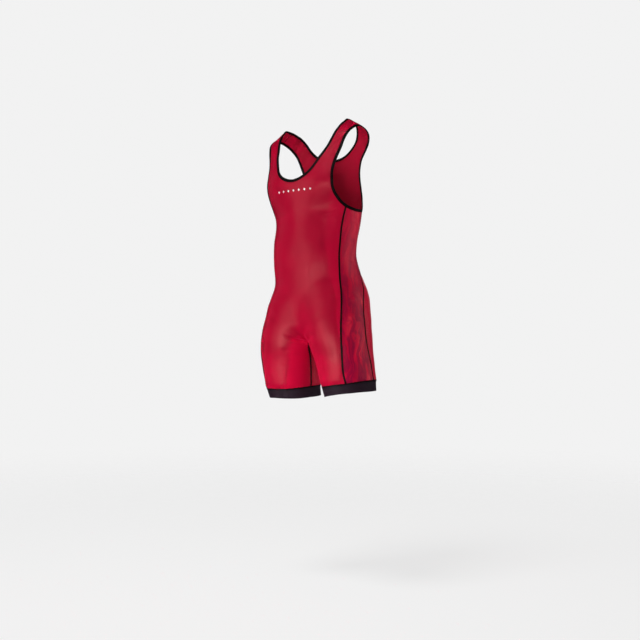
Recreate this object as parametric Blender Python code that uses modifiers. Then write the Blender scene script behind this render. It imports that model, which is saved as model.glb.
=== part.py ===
"""Wrestling singlet in its worn shape: panels, side inserts, leg bands and edge bindings as thin solids."""
import math

import bpy
import numpy as np

# Sizes in metres. Front of the garment faces -Y, the wearer's left is +X, z = 0 is the shoulder line.
CLOTH = 0.0012            # thickness of the panels
BAND_CLOTH = 0.0018       # thickness of the leg bands
BAND_HEIGHT = 0.036
SEAM_GAP = 0.0003         # between two pieces at a seam
FORK_GAP = 0.0016         # the same where the inseams meet, which is folded too sharply for less
BINDING_WIDTH = 0.0085
BINDING_THICKNESS = 0.0026
BINDING_ROUND = 0.0022    # how far in from its edges the binding begins to thin

# Colours of the cloths, in linear light.
CRIMSON, SMOKE = (0.38, 0.008, 0.03), (0.20, 0.010, 0.025)
CHARCOAL, BLACK = (0.030, 0.025, 0.035), (0.008, 0.007, 0.008)

# The garment is carried a little turned, leaning and uneven.
CHEST_TURN = math.radians(4.0)
TURN_BOTTOM, TURN_TOP = -0.62, -0.22
LEAN = -0.009
TILT = 0.08

# Rows of the panels: leg, seam line up to the armhole, armhole up to the shoulder seam.
LEG_ROWS, BODY_ROWS, ARM_ROWS = 5, 18, 13
CHEST_ROWS = 4            # rows between the foot of the armhole and the foot of the neckline
NAPE_ROWS = 8             # the same at the back, where the neckline is higher
HALF_COLUMNS, SIDE_COLUMNS, BAND_ROWS = 9, 4, 2
SEAM_ROWS = LEG_ROWS + BODY_ROWS + 1

TRUNK = {
    "columns": ("z", "half_width", "front", "back", "front_square", "back_square"),
    "rows": (
        (-0.740, 0.176, 0.106, 0.120, 2.0, 2.0),
        (-0.660, 0.172, 0.108, 0.140, 2.05, 2.0),
        (-0.600, 0.172, 0.111, 0.150, 2.1, 2.0),
        (-0.530, 0.158, 0.117, 0.133, 2.0, 2.2),
        (-0.455, 0.149, 0.126, 0.096, 2.3, 1.9),
        (-0.370, 0.154, 0.121, 0.103, 1.95, 2.2),
        (-0.290, 0.157, 0.117, 0.127, 1.7, 2.5),
        (-0.210, 0.175, 0.134, 0.128, 2.3, 2.35),
        (-0.150, 0.172, 0.126, 0.122, 2.3, 2.3),
        (-0.080, 0.172, 0.085, 0.105, 2.3, 2.3),
        (-0.020, 0.165, 0.030, 0.075, 2.2, 2.2),
    ),
}
FORK_TOP, FORK_REACH = -0.662, 0.030
CHEST_TOP, CHEST_REACH = -0.05, 0.030
THIGH = {
    "columns": ("z", "across", "along", "half_width", "front", "back", "front_square", "back_square"),
    "rows": (
        (-0.920, 0.118, 0.032, 0.082, 0.102, 0.088, 2.0, 2.0),
        (-0.860, 0.119, 0.016, 0.086, 0.110, 0.094, 2.05, 2.05),
        (-0.790, 0.115, -0.003, 0.095, 0.105, 0.096, 2.1, 2.1),
        (-0.720, 0.103, -0.009, 0.103, 0.114, 0.105, 2.1, 2.1),
        (-0.600, 0.085, -0.005, 0.088, 0.098, 0.106, 2.1, 2.1),
    ),
}
THIGH_TOP, THIGH_REACH = -0.60, 0.050
YOKE = {
    "columns": ("x", "along", "up", "depth", "height"),
    "rows": (
        (0.00, 0.030, -0.045, 0.072, 0.070),
        (0.06, 0.030, -0.040, 0.070, 0.062),
        (0.11, 0.028, -0.050, 0.068, 0.060),
        (0.16, 0.026, -0.078, 0.066, 0.058),
        (0.20, 0.024, -0.110, 0.062, 0.052),
    ),
}
YOKE_END, YOKE_REACH, YOKE_LAST = 0.19, 0.020, 0.22
THIGH_BLEND, FORK_BLEND, YOKE_BLEND = 0.03, 0.07, 0.09

# Lines of the garment on its left half, as (x, y, z). Each is then settled on the form.
INSEAM = ((0.034, 0.005, -0.881), (0.031, 0.001, -0.851), (0.022, -0.013, -0.797),
          (0.012, -0.034, -0.756), (0.000, -0.051, -0.732))
CENTRE_FRONT = ((0, -0.051, -0.732), (0, -0.080, -0.711), (0, -0.108, -0.680), (0, -0.111, -0.640),
                (0, -0.109, -0.560), (0, -0.130, -0.455), (0, -0.122, -0.370), (0, -0.117, -0.290),
                (0, -0.133, -0.220), (0, -0.135, -0.196))
CENTRE_BACK = ((0, -0.051, -0.732), (0, -0.020, -0.746), (0, 0.020, -0.747), (0, 0.060, -0.728),
               (0, 0.100, -0.705), (0, 0.132, -0.675), (0, 0.147, -0.630), (0, 0.142, -0.560),
               (0, 0.096, -0.455), (0, 0.103, -0.370), (0, 0.127, -0.290), (0, 0.127, -0.200),
               (0, 0.112, -0.105))
NECK_FRONT = ((0.000, -0.141, -0.196), (0.020, -0.140, -0.193), (0.042, -0.136, -0.184),
              (0.060, -0.131, -0.171), (0.075, -0.122, -0.152), (0.087, -0.108, -0.128),
              (0.101, -0.087, -0.099), (0.110, -0.070, -0.070), (0.119, -0.047, -0.036),
              (0.126, -0.015, -0.006), (0.129, 0.012, 0.003), (0.126, 0.036, -0.002))
NECK_BACK = ((0.000, 0.112, -0.105), (0.032, 0.110, -0.101), (0.062, 0.104, -0.088),
             (0.090, 0.090, -0.062), (0.112, 0.068, -0.030), (0.126, 0.036, -0.002))
ARM_FRONT = ((0.146, -0.037, -0.291), (0.137, -0.055, -0.278), (0.131, -0.070, -0.262),
             (0.127, -0.084, -0.245), (0.126, -0.097, -0.222), (0.127, -0.102, -0.198),
             (0.127, -0.100, -0.174), (0.129, -0.091, -0.146), (0.134, -0.080, -0.119),
             (0.140, -0.068, -0.094), (0.146, -0.055, -0.066), (0.154, -0.036, -0.041),
             (0.164, -0.008, -0.020), (0.167, 0.014, -0.014), (0.164, 0.038, -0.018))
ARM_BACK = ((0.143, 0.065, -0.299), (0.131, 0.090, -0.283), (0.121, 0.104, -0.257),
            (0.114, 0.112, -0.225), (0.111, 0.114, -0.188), (0.113, 0.112, -0.150),
            (0.122, 0.104, -0.110), (0.138, 0.088, -0.070), (0.153, 0.064, -0.038),
            (0.164, 0.038, -0.018))
UNDERARM = ((0.146, -0.037, -0.291), (0.152, -0.010, -0.300), (0.151, 0.025, -0.303), (0.143, 0.065, -0.299))
SEAM_FRONT = ((0.170, -0.068, -0.879), (0.169, -0.077, -0.858), (0.170, -0.089, -0.806),
              (0.171, -0.095, -0.745), (0.169, -0.095, -0.701), (0.160, -0.080, -0.622),
              (0.148, -0.067, -0.568), (0.138, -0.060, -0.515), (0.137, -0.062, -0.460),
              (0.138, -0.060, -0.410), (0.138, -0.052, -0.360), (0.140, -0.042, -0.320),
              (0.146, -0.037, -0.291))
SEAM_REAR = ((0.202, 0.040, -0.873), (0.207, 0.021, -0.824), (0.210, 0.003, -0.784),
             (0.208, -0.008, -0.745), (0.200, -0.007, -0.685), (0.191, -0.002, -0.637),
             (0.181, 0.010, -0.600), (0.163, 0.033, -0.554), (0.149, 0.046, -0.505),
             (0.146, 0.050, -0.460), (0.142, 0.058, -0.410), (0.140, 0.064, -0.350),
             (0.143, 0.065, -0.299))
LEG_SPLIT = 3             # which point of the two side seams lies level with the fork
MIDDLE_PUSH = 0.35        # how far the middle of a panel's row stands out, over its width
HEM_FRONT = ((0.034, 0.005, -0.881), (0.050, -0.045, -0.885), (0.085, -0.080, -0.886),
             (0.130, -0.088, -0.883), (0.170, -0.068, -0.879))
SHOULDER = ((0.126, 0.036, -0.002), (0.145, 0.037, -0.006), (0.164, 0.038, -0.018))
HEM_SIDE = ((0.170, -0.068, -0.879), (0.199, -0.025, -0.875), (0.202, 0.040, -0.873))
HEM_BACK = ((0.034, 0.005, -0.881), (0.050, 0.070, -0.878), (0.100, 0.115, -0.874),
            (0.160, 0.100, -0.872), (0.202, 0.040, -0.873))


def cubic(xs, ys):
    """A smooth curve through the points of a table, straight beyond its ends."""
    xs, ys = np.asarray(xs, float), np.asarray(ys, float)
    count, step = len(xs), np.diff(xs)
    rise = np.diff(ys) / step
    matrix, right = np.eye(count), np.zeros(count)
    for i in range(1, count - 1):
        matrix[i, i - 1:i + 2] = step[i - 1], 2 * (step[i - 1] + step[i]), step[i]
        right[i] = 6 * (rise[i] - rise[i - 1])
    bend = np.linalg.solve(matrix, right)
    first = rise[0] - step[0] * (2 * bend[0] + bend[1]) / 6
    last = rise[-1] + step[-1] * (bend[-2] + 2 * bend[-1]) / 6

    def at(x):
        x = np.asarray(x, float)
        i = np.clip(np.searchsorted(xs, x) - 1, 0, count - 2)
        inside = np.clip(x, xs[0], xs[-1])
        before, after = xs[i + 1] - inside, inside - xs[i]
        value = (bend[i] * before ** 3 + bend[i + 1] * after ** 3) / (6 * step[i])
        value += (ys[i] / step[i] - bend[i] * step[i] / 6) * before
        value += (ys[i + 1] / step[i] - bend[i + 1] * step[i] / 6) * after
        return value + np.minimum(x - xs[0], 0) * first + np.maximum(x - xs[-1], 0) * last

    return at


def curves(table):
    """{column: curve over the table's first column}"""
    rows = np.array(table["rows"], float)
    return {name: cubic(rows[:, 0], rows[:, i]) for i, name in enumerate(table["columns"]) if i}


TRUNK_AT, THIGH_AT, YOKE_AT = curves(TRUNK), curves(THIGH), curves(YOKE)


def oval(u, v, half_width, front, back, front_square, back_square):
    """About how far (u, v) lies outside an oval, whose front and back halves differ."""
    depth, square = np.where(v < 0, front, back), np.where(v < 0, front_square, back_square)
    u, v = np.abs(u) + 1e-9, np.abs(v) + 1e-9
    size = ((u / half_width) ** square + (v / depth) ** square) ** (1 / square)
    steep = size ** (1 - square) * np.hypot(u ** (square - 1) / half_width ** square,
                                            v ** (square - 1) / depth ** square)
    return (size - 1) / np.maximum(steep, 0.5 / np.maximum(half_width, depth))


def join(a, b, blend):
    """The union of two distances, rounded where they meet."""
    near = np.maximum(blend - np.abs(a - b), 0) / blend
    return np.minimum(a, b) - blend * near ** 3 / 6


def closing(distance, reach):
    return np.maximum(distance, 0) ** 2 / (2 * reach)


def form(p):
    """About how far a point lies outside the general figure that the garment is stretched over."""
    x, y, z = p[..., 0], p[..., 1], p[..., 2]
    level = np.clip(z, -0.80, -0.02)
    trunk = oval(x, y, *(TRUNK_AT[c](level) for c in TRUNK["columns"][1:]))
    trunk = trunk + closing(FORK_TOP - z, FORK_REACH) + closing(z - CHEST_TOP, CHEST_REACH)
    level = np.clip(z, -0.96, -0.58)
    across, along, *section = (THIGH_AT[c](level) for c in THIGH["columns"][1:])
    legs = [oval(side - across, y - along, *section) for side in (np.abs(x), -np.abs(x))]
    thighs = join(*legs, THIGH_BLEND) + closing(z - THIGH_TOP, THIGH_REACH)
    reach = np.minimum(np.abs(x), YOKE_LAST)
    along, up, depth, height = (YOKE_AT[c](reach) for c in YOKE["columns"][1:])
    yoke = oval(y - along, z - up, depth, height, height, 2.0, 2.0)
    yoke = yoke + closing(np.abs(x) - YOKE_END, YOKE_REACH)
    return join(join(trunk, thighs, FORK_BLEND), yoke, YOKE_BLEND)


def steepest(p, step=2e-4):
    moves = np.eye(3) * step
    return np.stack([form(p + move) - form(p - move) for move in moves], -1) / (2 * step)


def outward(p):
    slope = steepest(p)
    return slope / np.linalg.norm(slope, axis=-1, keepdims=True)


def settle(p, times=8):
    """Moves points onto the form, along its slope."""
    p = np.array(p, float)
    for _ in range(times):
        slope = steepest(p)
        move = (form(p) / np.maximum((slope * slope).sum(-1), 0.05))[..., None] * slope
        length = np.linalg.norm(move, axis=-1, keepdims=True)
        p -= move * np.minimum(1, 0.03 / np.maximum(length, 1e-9))
    return p


def spaced(points, count):
    """count + 1 points at equal steps along a line of points."""
    run = np.r_[0, np.cumsum(np.linalg.norm(np.diff(points, axis=0), axis=1))]
    at = np.linspace(0, run[-1], count + 1)
    return np.stack([np.interp(at, run, points[:, i]) for i in range(3)], -1)


def line(points, count, first=0, last=None):
    """count + 1 points on the form, evenly along a smooth line through points[first] to points[last]."""
    points = np.array(points, float)
    run = np.r_[0, np.cumsum(np.linalg.norm(np.diff(points, axis=0), axis=1))]
    ends = run[first], run[-1 if last is None else last]
    fine = np.stack([cubic(run, points[:, i])(np.linspace(*ends, 240)) for i in range(3)], -1)
    return settle(spaced(settle(fine), count))


def rows_between(inner, middle, outer, columns):
    """A grid of points on the form: each row goes from inner past middle to outer."""
    s = np.linspace(0, 1, 41)[None, :, None]
    a, b, c = (edge[:, None, :] for edge in (inner, middle, outer))
    rows = a * (1 - s) * (1 - 2 * s) + b * 4 * s * (1 - s) + c * s * (2 * s - 1)
    rows = settle(rows)
    rows[:, 0], rows[:, -1] = inner, outer
    grid = settle(np.stack([spaced(row, columns) for row in rows]))
    grid[:, 0], grid[:, -1] = inner, outer
    return grid


def seam(points):
    return np.concatenate([line(points, LEG_ROWS, 0, LEG_SPLIT)[:-1],
                           line(points, BODY_ROWS, LEG_SPLIT)])


def half_panel(hem, centre, neck, side, arm, upper_rows, facing):
    """The left half of the front (facing -1) or the back (facing 1), with its rows from hem to shoulder."""
    inner = np.concatenate([line(INSEAM, LEG_ROWS)[:-1],
                            line(centre, BODY_ROWS + upper_rows)[:-1],
                            line(neck, ARM_ROWS - upper_rows)])
    outer = np.concatenate([seam(side)[:-1], line(arm, ARM_ROWS)])
    width = np.linalg.norm(inner - outer, axis=1, keepdims=True)
    middle = settle((inner + outer) / 2 + width * (0, MIDDLE_PUSH * facing, 0))
    grid = rows_between(inner, middle, outer, HALF_COLUMNS)
    grid[0], grid[-1] = line(hem, HALF_COLUMNS), line(SHOULDER, HALF_COLUMNS)
    return grid


def side_insert(front, back):
    """The insert between the outer edges of the front and the back, with its rows from hem to underarm."""
    inner, outer = front[:SEAM_ROWS, -1], back[:SEAM_ROWS, -1]
    grid = rows_between(inner, settle((inner + outer) / 2), outer, SIDE_COLUMNS)
    grid[0] = line(HEM_SIDE, SIDE_COLUMNS)
    grid[-1] = line(UNDERARM, SIDE_COLUMNS)
    return grid


def carried(p):
    """The garment's turn, lean and tilt, as it is worn."""
    p = np.array(p, float)
    rise = np.clip((p[..., 2] - TURN_BOTTOM) / (TURN_TOP - TURN_BOTTOM), 0, 1)
    rise = rise * rise * (3 - 2 * rise)
    turn = CHEST_TURN * rise
    x, y = p[..., 0].copy(), p[..., 1].copy()
    p[..., 0] = x * np.cos(turn) - y * np.sin(turn) + LEAN * rise
    p[..., 1] = x * np.sin(turn) + y * np.cos(turn)
    p[..., 2] += TILT * x
    return p


def mirrored(p):
    return p * (-1, 1, 1)


def draw_in(grid, edge, inside, gap=SEAM_GAP):
    """Moves one edge of a grid in by half a seam gap, towards the row or column next to it."""
    grid[edge] = grid[edge] + unit(grid[inside] - grid[edge]) * gap / 2


def unit(vectors):
    return vectors / np.linalg.norm(vectors, axis=-1, keepdims=True)


def grid_faces(rows, columns, start=0, flip=False):
    faces = []
    for i in range(rows - 1):
        for j in range(columns - 1):
            a = start + i * columns + j
            quad = (a, a + 1, a + columns + 1, a + columns)
            faces.append(quad[::-1] if flip else quad)
    return faces


def add_mesh(name, points, faces, colour, roughness=0.5):
    mesh = bpy.data.meshes.new(name)
    mesh.from_pydata(points.tolist(), [], faces)
    mesh.shade_smooth()
    obj = bpy.data.objects.new(name, mesh)
    material = bpy.data.materials.new(name)
    material.use_nodes = True
    shader = material.node_tree.nodes["Principled BSDF"]
    shader.inputs["Base Color"].default_value = (*colour, 1)
    shader.inputs["Roughness"].default_value = roughness
    mesh.materials.append(material)
    COLLECTION.objects.link(obj)
    return obj


def thicken(obj, thickness):
    solid = obj.modifiers.new("thickness", "SOLIDIFY")
    solid.thickness = thickness
    solid.offset = 1
    solid.use_even_offset = True


def merged(points, faces):
    """Joins points that lie together, where the two halves of a panel meet."""
    keys, index = np.unique(np.round(points, 7), axis=0, return_inverse=True)
    index = index.reshape(-1)
    first = np.zeros(len(keys), int)
    first[index[::-1]] = np.arange(len(points))[::-1]
    return points[first], [tuple(int(index[v]) for v in face) for face in faces]


def trimmed_panel(grid):
    """A front or back half with its seam gaps: at the hem, the inseam, the side seam and the shoulder."""
    grid = grid.copy()
    draw_in(grid, (slice(0, LEG_ROWS - 1), 0), (slice(0, LEG_ROWS - 1), 1))
    draw_in(grid, (LEG_ROWS - 1, 0), (LEG_ROWS - 1, 1), FORK_GAP)
    draw_in(grid, (LEG_ROWS, 0), (LEG_ROWS + 1, 0), FORK_GAP)
    draw_in(grid, (slice(0, SEAM_ROWS), -1), (slice(0, SEAM_ROWS), -2))
    draw_in(grid, 0, 1)
    draw_in(grid, -1, -2)
    return grid


def trimmed_side(grid):
    """A side insert with its seam gaps: along both side seams and at the hem."""
    grid = grid.copy()
    draw_in(grid, (slice(None), 0), (slice(None), 1))
    draw_in(grid, (slice(None), -1), (slice(None), -2))
    draw_in(grid, 0, 1)
    return grid


def add_panel(name, grid, flip, colour):
    """A panel made of a left half and its mirror image."""
    rows, columns = grid.shape[:2]
    count = rows * columns
    points = np.concatenate([grid.reshape(-1, 3), mirrored(grid).reshape(-1, 3)])
    faces = grid_faces(rows, columns, 0, flip) + grid_faces(rows, columns, count, not flip)
    points, faces = merged(points, faces)
    thicken(add_mesh(name, carried(points), faces, colour), CLOTH)


def add_side(name, grid, flip, colour):
    rows, columns = grid.shape[:2]
    thicken(add_mesh(name, carried(grid.reshape(-1, 3)), grid_faces(rows, columns, 0, flip), colour), CLOTH)


def leg_band(front, side, back):
    """Rows of points round the left leg, from the foot of the band up to the hem of the panels."""
    hem = np.concatenate([front[0, :-1], side[0, :-1], back[0, ::-1][:-1]])
    drops = np.linspace(BAND_HEIGHT, 0, BAND_ROWS + 1)
    grid = np.stack([settle(hem - (0, 0, drop)) if drop else hem for drop in drops])
    draw_in(grid, -1, -2)
    return grid


def add_band(name, grid, flip, colour):
    rows, columns = grid.shape[:2]
    closed = np.concatenate([grid, grid[:, :1]], axis=1)
    points, faces = merged(closed.reshape(-1, 3), grid_faces(rows, columns + 1, 0, flip))
    thicken(add_mesh(name, carried(points), faces, colour, 0.8), BAND_CLOTH)


def edge_frame(path, towards):
    """The outward normals of a closed path on the form, and its sideways directions into the opening."""
    along = unit(np.roll(path, -1, axis=0) - np.roll(path, 1, axis=0))
    normal = outward(path)
    return normal, unit(np.cross(along, normal)) * towards


def binding(path, towards):
    """Rings of points along an edge: a bar beside the panels, standing a little proud of them."""
    normal, sideways = edge_frame(path, towards)
    low = (CLOTH - BINDING_THICKNESS) / 2
    high = low + BINDING_THICKNESS
    shoulder = high - BINDING_THICKNESS * 0.4
    near, far = SEAM_GAP, SEAM_GAP + BINDING_WIDTH
    section = ((near, low), (far, low), (far, shoulder), (far - BINDING_ROUND, high),
               (near + BINDING_ROUND, high), (near, shoulder))
    return np.stack([path + sideways * across + normal * up for across, up in section], 1)


def add_binding(name, rings, flip, colour):
    count, sides = rings.shape[:2]
    faces = []
    for i in range(count):
        for j in range(sides):
            a, b = i * sides + j, i * sides + (j + 1) % sides
            c, d = (i + 1) % count * sides + (j + 1) % sides, (i + 1) % count * sides + j
            faces.append((d, c, b, a) if flip else (a, b, c, d))
    add_mesh(name, carried(rings.reshape(-1, 3)), faces, colour, 0.6)


for old in list(bpy.data.objects):
    bpy.data.objects.remove(old, do_unlink=True)
COLLECTION = bpy.data.collections.new("wrestling_singlet")
bpy.context.scene.collection.children.link(COLLECTION)

front = half_panel(HEM_FRONT, CENTRE_FRONT, NECK_FRONT, SEAM_FRONT, ARM_FRONT, CHEST_ROWS, -1)
back = half_panel(HEM_BACK, CENTRE_BACK, NECK_BACK, SEAM_REAR, ARM_BACK, NAPE_ROWS, 1)
side = side_insert(front, back)
band = leg_band(front, side, back)

add_panel("front_panel", trimmed_panel(front), False, CRIMSON)
add_panel("back_panel", trimmed_panel(back), True, CRIMSON)
for name, turned, facing_out in (("left", side, False), ("right", mirrored(side), True)):
    add_side("side_panel_" + name, trimmed_side(turned), facing_out, SMOKE)
for name, ring, facing_out in (("left", band, False), ("right", mirrored(band), True)):
    add_band("leg_band_" + name, ring, facing_out, CHARCOAL)

foot = SEAM_ROWS - 1
left_neck = np.concatenate([front[foot + CHEST_ROWS:, 0], back[foot + NAPE_ROWS:, 0][::-1][1:]])
neck = np.concatenate([left_neck, mirrored(left_neck)[::-1][1:-1]])
arm = np.concatenate([front[foot:, -1], back[foot:, -1][::-1][1:], side[-1, ::-1][1:-1]])
arm_rings = binding(arm, 1)
add_binding("neck_binding", binding(neck, -1), False, BLACK)
add_binding("armhole_binding_left", arm_rings, True, BLACK)
add_binding("armhole_binding_right", mirrored(arm_rings), False, BLACK)
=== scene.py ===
"""Wrestling singlet in its worn shape: stretched knit panels, printed side inserts, elastic leg bands,
bound edges, flatlock seams and a plain chest mark, with a stage, lights and a camera."""
import functools
import math

import bpy
import numpy as np
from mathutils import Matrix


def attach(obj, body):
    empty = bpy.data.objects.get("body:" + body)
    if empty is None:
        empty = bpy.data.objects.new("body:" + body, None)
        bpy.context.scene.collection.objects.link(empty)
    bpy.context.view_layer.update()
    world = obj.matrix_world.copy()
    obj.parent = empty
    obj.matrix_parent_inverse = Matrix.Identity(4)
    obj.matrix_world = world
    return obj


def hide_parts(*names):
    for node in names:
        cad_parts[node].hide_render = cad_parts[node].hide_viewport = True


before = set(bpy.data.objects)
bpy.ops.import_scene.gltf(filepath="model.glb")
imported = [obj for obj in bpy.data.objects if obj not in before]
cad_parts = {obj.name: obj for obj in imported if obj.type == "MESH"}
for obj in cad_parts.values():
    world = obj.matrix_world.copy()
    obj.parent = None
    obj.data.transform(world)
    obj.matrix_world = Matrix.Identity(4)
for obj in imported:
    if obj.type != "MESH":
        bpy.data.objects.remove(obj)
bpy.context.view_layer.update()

bl_info = {
    "name": "Wrestling Singlet",
    "version": (1, 0, 0),
    "blender": (4, 5, 0),
    "location": "View3D > Sidebar > Singlet",
    "description": "Builds a worn wrestling singlet, its seams and trims, and a plain studio",
    "category": "Add Mesh",
}

# ---------------------------------------------------------------------------------------------
# Sizes, in metres. The front faces -Y, the wearer's left is +X, z = 0 is the shoulder line.
# ---------------------------------------------------------------------------------------------
CLOTH = 0.0012
BAND_CLOTH = 0.0018
BAND_HEIGHT = 0.036
SEAM_WIDTH = 0.0068
SEAM_RISE = 0.0008

CHEST_TURN = math.radians(4.0)            # of the chest over the hips, to the wearer's left
TURN_BOTTOM, TURN_TOP = -0.62, -0.22      # heights between which the turn and the lean come in
LEAN = -0.009                             # of the chest, along x
TILT = 0.08                               # rise for each metre along x

# Rows and columns of the cloth: leg, seam line up to the armhole, armhole up to the shoulder seam.
LEG_ROWS, BODY_ROWS, ARM_ROWS = 35, 126, 91
CHEST_ROWS, NAPE_ROWS = 28, 56
HALF_COLUMNS, SIDE_COLUMNS, BAND_ROWS = 54, 26, 24
SEAM_ROWS = LEG_ROWS + BODY_ROWS + 1
SHOULDER_ROWS = 24        # rows over which the panels straighten into the shoulder seam
ACROSS_SAMPLES = 81       # points along a row before it is spaced evenly
LINE_SAMPLES = 240        # points along a line before it is spaced evenly
MIDDLE_PUSH = 0.35        # how far a row's middle starts out from its chord, as a share of the chord
LEG_SPLIT = 3             # the point of a side seam's line where the leg's rows end

# The form's sections. Each part of it ends softly beyond a height or a width, faster over a smaller reach.
TRUNK = {
    "columns": ("z", "half_width", "front", "back", "front_square", "back_square"),
    "rows": (
        (-0.740, 0.176, 0.106, 0.120, 2.0, 2.0),
        (-0.660, 0.172, 0.108, 0.140, 2.05, 2.0),
        (-0.600, 0.172, 0.111, 0.150, 2.1, 2.0),
        (-0.530, 0.158, 0.117, 0.133, 2.0, 2.2),
        (-0.455, 0.149, 0.126, 0.096, 2.3, 1.9),
        (-0.370, 0.154, 0.121, 0.103, 1.95, 2.2),
        (-0.290, 0.157, 0.117, 0.127, 1.7, 2.5),
        (-0.210, 0.175, 0.134, 0.128, 2.3, 2.35),
        (-0.150, 0.172, 0.126, 0.122, 2.3, 2.3),
        (-0.080, 0.172, 0.085, 0.105, 2.3, 2.3),
        (-0.020, 0.165, 0.030, 0.075, 2.2, 2.2),
    ),
}
FORK_TOP, FORK_REACH = -0.662, 0.030
CHEST_TOP, CHEST_REACH = -0.05, 0.030
THIGH = {
    "columns": ("z", "across", "along", "half_width", "front", "back", "front_square", "back_square"),
    "rows": (
        (-0.920, 0.118, 0.032, 0.082, 0.102, 0.088, 2.0, 2.0),
        (-0.860, 0.119, 0.016, 0.086, 0.110, 0.094, 2.05, 2.05),
        (-0.790, 0.115, -0.003, 0.095, 0.105, 0.096, 2.1, 2.1),
        (-0.720, 0.103, -0.009, 0.103, 0.114, 0.105, 2.1, 2.1),
        (-0.600, 0.085, -0.005, 0.088, 0.098, 0.106, 2.1, 2.1),
    ),
}
THIGH_TOP, THIGH_REACH = -0.60, 0.050
YOKE = {
    "columns": ("x", "along", "up", "depth", "height"),
    "rows": (
        (0.00, 0.030, -0.045, 0.072, 0.070),
        (0.06, 0.030, -0.040, 0.070, 0.062),
        (0.11, 0.028, -0.050, 0.068, 0.060),
        (0.16, 0.026, -0.078, 0.066, 0.058),
        (0.20, 0.024, -0.110, 0.062, 0.052),
    ),
}
YOKE_END, YOKE_REACH, YOKE_LAST = 0.19, 0.020, 0.22
THIGH_BLEND, FORK_BLEND, YOKE_BLEND = 0.03, 0.07, 0.09
TRUNK_LEVELS, THIGH_LEVELS = (-0.80, -0.02), (-0.96, -0.58)   # heights beyond which a section stays as it is
LEAST_SLOPE, LONGEST_MOVE = 0.05, 0.03                        # what keeps each move of settle() small

# Lines of the garment on its left half, as (x, y, z). Each is then settled on the form.
INSEAM = ((0.034, 0.005, -0.881), (0.031, 0.001, -0.851), (0.022, -0.013, -0.797),
          (0.012, -0.034, -0.756), (0.000, -0.051, -0.732))
CENTRE_FRONT = ((0, -0.051, -0.732), (0, -0.080, -0.711), (0, -0.108, -0.680), (0, -0.111, -0.640),
                (0, -0.109, -0.560), (0, -0.130, -0.455), (0, -0.122, -0.370), (0, -0.117, -0.290),
                (0, -0.133, -0.220), (0, -0.135, -0.196))
CENTRE_BACK = ((0, -0.051, -0.732), (0, -0.020, -0.746), (0, 0.020, -0.747), (0, 0.060, -0.728),
               (0, 0.100, -0.705), (0, 0.132, -0.675), (0, 0.147, -0.630), (0, 0.142, -0.560),
               (0, 0.096, -0.455), (0, 0.103, -0.370), (0, 0.127, -0.290), (0, 0.127, -0.200),
               (0, 0.112, -0.105))
NECK_FRONT = ((0.000, -0.141, -0.196), (0.020, -0.140, -0.193), (0.042, -0.136, -0.184),
              (0.060, -0.131, -0.171), (0.075, -0.122, -0.152), (0.087, -0.108, -0.128),
              (0.101, -0.087, -0.099), (0.110, -0.070, -0.070), (0.119, -0.047, -0.036),
              (0.126, -0.015, -0.006), (0.129, 0.012, 0.003), (0.126, 0.036, -0.002))
NECK_BACK = ((0.000, 0.112, -0.105), (0.032, 0.110, -0.101), (0.062, 0.104, -0.088),
             (0.090, 0.090, -0.062), (0.112, 0.068, -0.030), (0.126, 0.036, -0.002))
ARM_FRONT = ((0.146, -0.037, -0.291), (0.137, -0.055, -0.278), (0.131, -0.070, -0.262),
             (0.127, -0.084, -0.245), (0.126, -0.097, -0.222), (0.127, -0.102, -0.198),
             (0.127, -0.100, -0.174), (0.129, -0.091, -0.146), (0.134, -0.080, -0.119),
             (0.140, -0.068, -0.094), (0.146, -0.055, -0.066), (0.154, -0.036, -0.041),
             (0.164, -0.008, -0.020), (0.167, 0.014, -0.014), (0.164, 0.038, -0.018))
ARM_BACK = ((0.143, 0.065, -0.299), (0.131, 0.090, -0.283), (0.121, 0.104, -0.257),
            (0.114, 0.112, -0.225), (0.111, 0.114, -0.188), (0.113, 0.112, -0.150),
            (0.122, 0.104, -0.110), (0.138, 0.088, -0.070), (0.153, 0.064, -0.038),
            (0.164, 0.038, -0.018))
UNDERARM = ((0.146, -0.037, -0.291), (0.152, -0.010, -0.300), (0.151, 0.025, -0.303), (0.143, 0.065, -0.299))
SEAM_FRONT = ((0.170, -0.068, -0.879), (0.169, -0.077, -0.858), (0.170, -0.089, -0.806),
              (0.171, -0.095, -0.745), (0.169, -0.095, -0.701), (0.160, -0.080, -0.622),
              (0.148, -0.067, -0.568), (0.138, -0.060, -0.515), (0.137, -0.062, -0.460),
              (0.138, -0.060, -0.410), (0.138, -0.052, -0.360), (0.140, -0.042, -0.320),
              (0.146, -0.037, -0.291))
SEAM_REAR = ((0.202, 0.040, -0.873), (0.207, 0.021, -0.824), (0.210, 0.003, -0.784),
             (0.208, -0.008, -0.745), (0.200, -0.007, -0.685), (0.191, -0.002, -0.637),
             (0.181, 0.010, -0.600), (0.163, 0.033, -0.554), (0.149, 0.046, -0.505),
             (0.146, 0.050, -0.460), (0.142, 0.058, -0.410), (0.140, 0.064, -0.350),
             (0.143, 0.065, -0.299))
HEM_FRONT = ((0.034, 0.005, -0.881), (0.050, -0.045, -0.885), (0.085, -0.080, -0.886),
             (0.130, -0.088, -0.883), (0.170, -0.068, -0.879))
SHOULDER = ((0.126, 0.036, -0.002), (0.145, 0.037, -0.006), (0.164, 0.038, -0.018))
HEM_SIDE = ((0.170, -0.068, -0.879), (0.199, -0.025, -0.875), (0.202, 0.040, -0.873))
HEM_BACK = ((0.034, 0.005, -0.881), (0.050, 0.070, -0.878), (0.100, 0.115, -0.874),
            (0.160, 0.100, -0.872), (0.202, 0.040, -0.873))


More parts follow.
